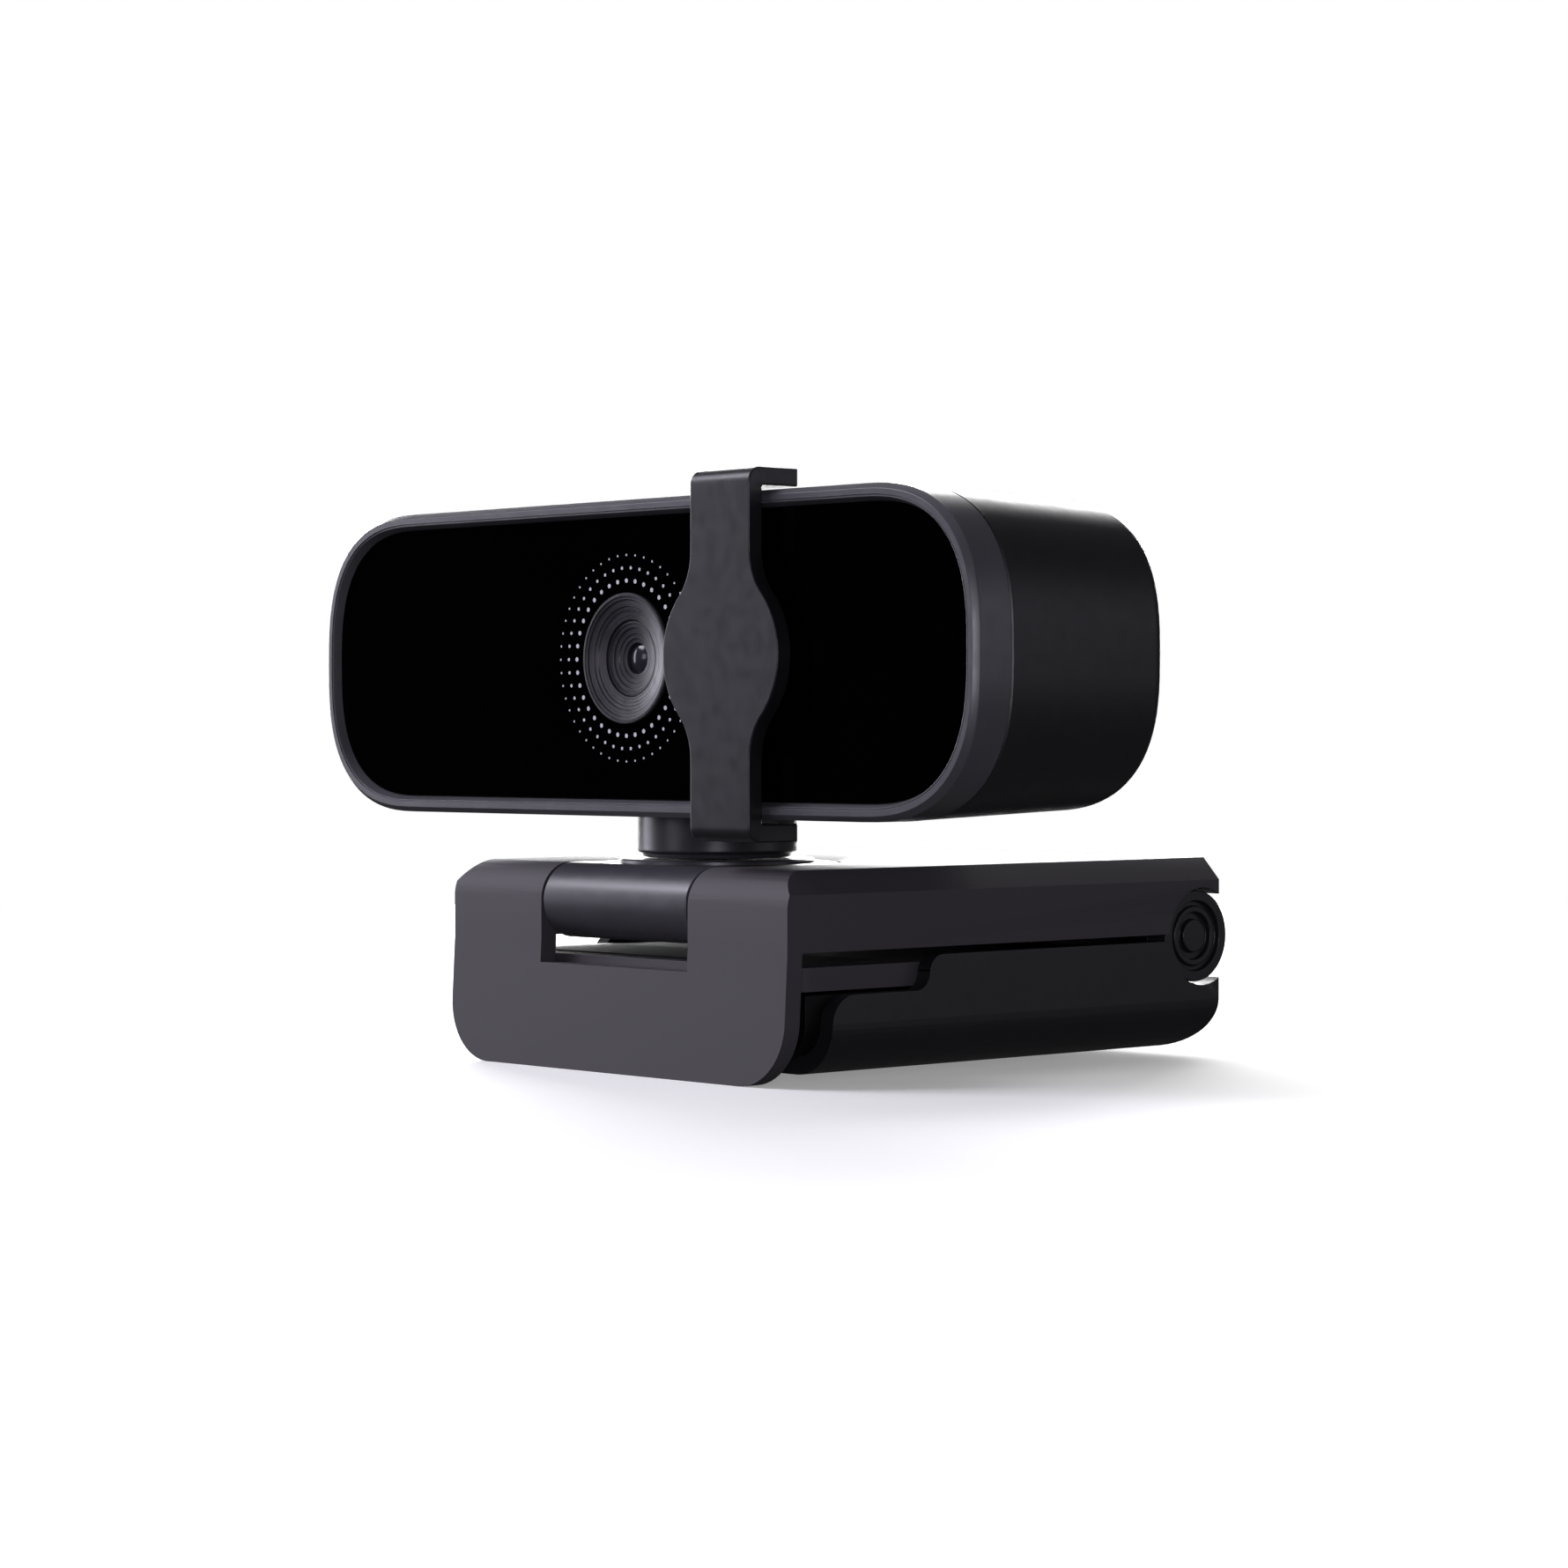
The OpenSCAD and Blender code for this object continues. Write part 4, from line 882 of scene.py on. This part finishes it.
class WEBCAM_OT_stage(BuildOperator):
    """Pale floor, soft studio lights and the camera"""

    bl_idname = "webcam.stage"
    bl_label = "Studio"

    def build(self):
        look = looks("stage")
        self.floor(look)
        self.world()
        middle = (0, -0.01, 0.03)
        cool = (1.0, 0.972, 1.10)
        soft_light("top_box", (-0.25, 0.25, 0.75), middle, 0.5, 0.7, 2)
        soft_light("back_box", (-1.2, 1.0, 0.38), middle, 1.4, 0.74, 74)
        soft_light("front_box", (-0.60, -0.60, 0.66), middle, 0.5, 0.40, 7.8, cool)
        soft_light("low_box", (-0.27, -0.85, 0.14), middle, 0.24, 0.22, 0.8, cool)
        soft_light("left_box", (-0.88, -0.27, 0.14), middle, 0.32, 0.40, 3.0, cool)
        soft_light("right_box", (0.80, 0.46, 0.16), middle, 0.6, 0.34, 0.58, cool)
        soft_light("edge_box", (0.48, -0.45, 0.06), middle, 0.08, 0.20, 1.1, cool)
        self.camera(look)
        bpy.context.scene.view_settings.view_transform = "Standard"

    @staticmethod
    def floor(look):
        """A flat disc at the object's lowest point that glows towards its rim, so no horizon shows."""
        reach = 0.34
        sides = 128
        turn = np.arange(sides) * 2 * math.pi / sides
        rim = np.stack([reach * np.cos(turn), reach * np.sin(turn), 0 * turn], axis=1)
        mesh = bpy.data.meshes.new("floor")
        mesh.from_pydata(rim.tolist(), [], [tuple(range(sides))])
        floor = bpy.data.objects.new("floor", mesh)
        bpy.context.scene.collection.objects.link(floor)
        material, tree, shader = node_material("pale_floor")
        tint = mix(tree, ramp(tree, noise(tree, 3), 0.3, 0.7, 0, 1),
                   tuple(np.array(look.floor_tone) * 0.99), tuple(look.floor_tone))
        tree.links.new(tint, shader.inputs["Base Color"])
        shader.inputs["Roughness"].default_value = 0.9
        shader.inputs["Specular IOR Level"].default_value = 0.1
        shader.inputs["Emission Color"].default_value = (1, 1, 1, 1)
        place = tree.nodes["place"]
        away = tree.nodes.new("ShaderNodeVectorMath")
        away.operation = "LENGTH"
        tree.links.new(place.outputs["Object"], away.inputs[0])
        glow = ramp(tree, away.outputs["Value"], 0.10, 0.32, 0.25, 1.0)
        tree.links.new(glow, shader.inputs["Emission Strength"])
        mesh.materials.append(material)
        floor.visible_diffuse = False
        floor.visible_glossy = False

    @staticmethod
    def world():
        """White to the camera, and a dim even light for the object."""
        world = bpy.data.worlds.new("studio")
        bpy.context.scene.world = world
        world.use_nodes = True
        tree = world.node_tree
        back = tree.nodes["Background"]
        seen = tree.nodes.new("ShaderNodeLightPath")
        level = tree.nodes.new("ShaderNodeMapRange")
        level.inputs["To Min"].default_value = 0.05
        level.inputs["To Max"].default_value = 1.0
        tree.links.new(seen.outputs["Is Camera Ray"], level.inputs["Value"])
        tree.links.new(level.outputs["Result"], back.inputs["Strength"])
        back.inputs["Color"].default_value = (1, 1, 1, 1)

    @staticmethod
    def camera(look):
        """Camera to the right of the head, a little below the lens, looking along the azimuth."""
        data = bpy.data.cameras.new("camera")
        data.lens = look.lens
        data.sensor_width = 36
        camera = bpy.data.objects.new("camera", data)
        away = 353.15 * MM   # back from the rim's face, along the camera's own direction
        aside = 15.12 * MM   # to the camera's right
        below = 7.13 * MM    # under the middle of the head
        pitch = math.radians(0.724)
        a = look.azimuth
        ahead = np.array([-math.sin(a), math.cos(a), 0])
        right = np.array([math.cos(a), math.sin(a), 0])
        camera.location = np.array([0, RIM_Y, LENS_Z - below]) - ahead * away + right * aside
        camera.rotation_euler = (math.pi / 2 - pitch, 0, a)
        data.clip_start, data.clip_end = 0.01, 50
        bpy.context.scene.collection.objects.link(camera)
        bpy.context.scene.camera = camera


STEPS = (
    WEBCAM_OT_shell, WEBCAM_OT_bezel, WEBCAM_OT_glass, WEBCAM_OT_dots, WEBCAM_OT_lens, WEBCAM_OT_shutter,
    WEBCAM_OT_neck, WEBCAM_OT_leaf, WEBCAM_OT_clip, WEBCAM_OT_arm, WEBCAM_OT_foot, WEBCAM_OT_gland,
    WEBCAM_OT_inner, WEBCAM_OT_stage,
)
GROUPS = {"head": HeadLooks, "shutter": ShutterLooks, "clip": ClipLooks, "stage": StageLooks}


class WEBCAM_PT_panel(bpy.types.Panel):
    """Build steps and their sizes in the sidebar."""

    bl_label = "Webcam"
    bl_idname = "WEBCAM_PT_panel"
    bl_space_type = "VIEW_3D"
    bl_region_type = "UI"
    bl_category = "Webcam"

    def draw(self, context):
        for step in STEPS:
            self.layout.operator(step.bl_idname)
        for name in GROUPS:
            group = looks(name)
            box = self.layout.box()
            for item in group.bl_rna.properties:
                if item.identifier not in {"rna_type", "name"}:
                    box.prop(group, item.identifier)


def register():
    """Registers the groups, operators and panel."""
    for name, group in GROUPS.items():
        bpy.utils.register_class(group)
        setattr(bpy.types.Scene, "webcam_" + name, bpy.props.PointerProperty(type=group))
    for item in (*STEPS, WEBCAM_PT_panel):
        bpy.utils.register_class(item)


def unregister():
    """Takes everything back out."""
    for item in (WEBCAM_PT_panel, *reversed(STEPS)):
        bpy.utils.unregister_class(item)
    for name, group in GROUPS.items():
        delattr(bpy.types.Scene, "webcam_" + name)
        bpy.utils.unregister_class(group)


def main():
    """Runs every build step in order."""
    register()
    for step in STEPS:
        group, name = step.bl_idname.split(".")
        getattr(getattr(bpy.ops, group), name)()


if __name__ == "__main__":
    main()
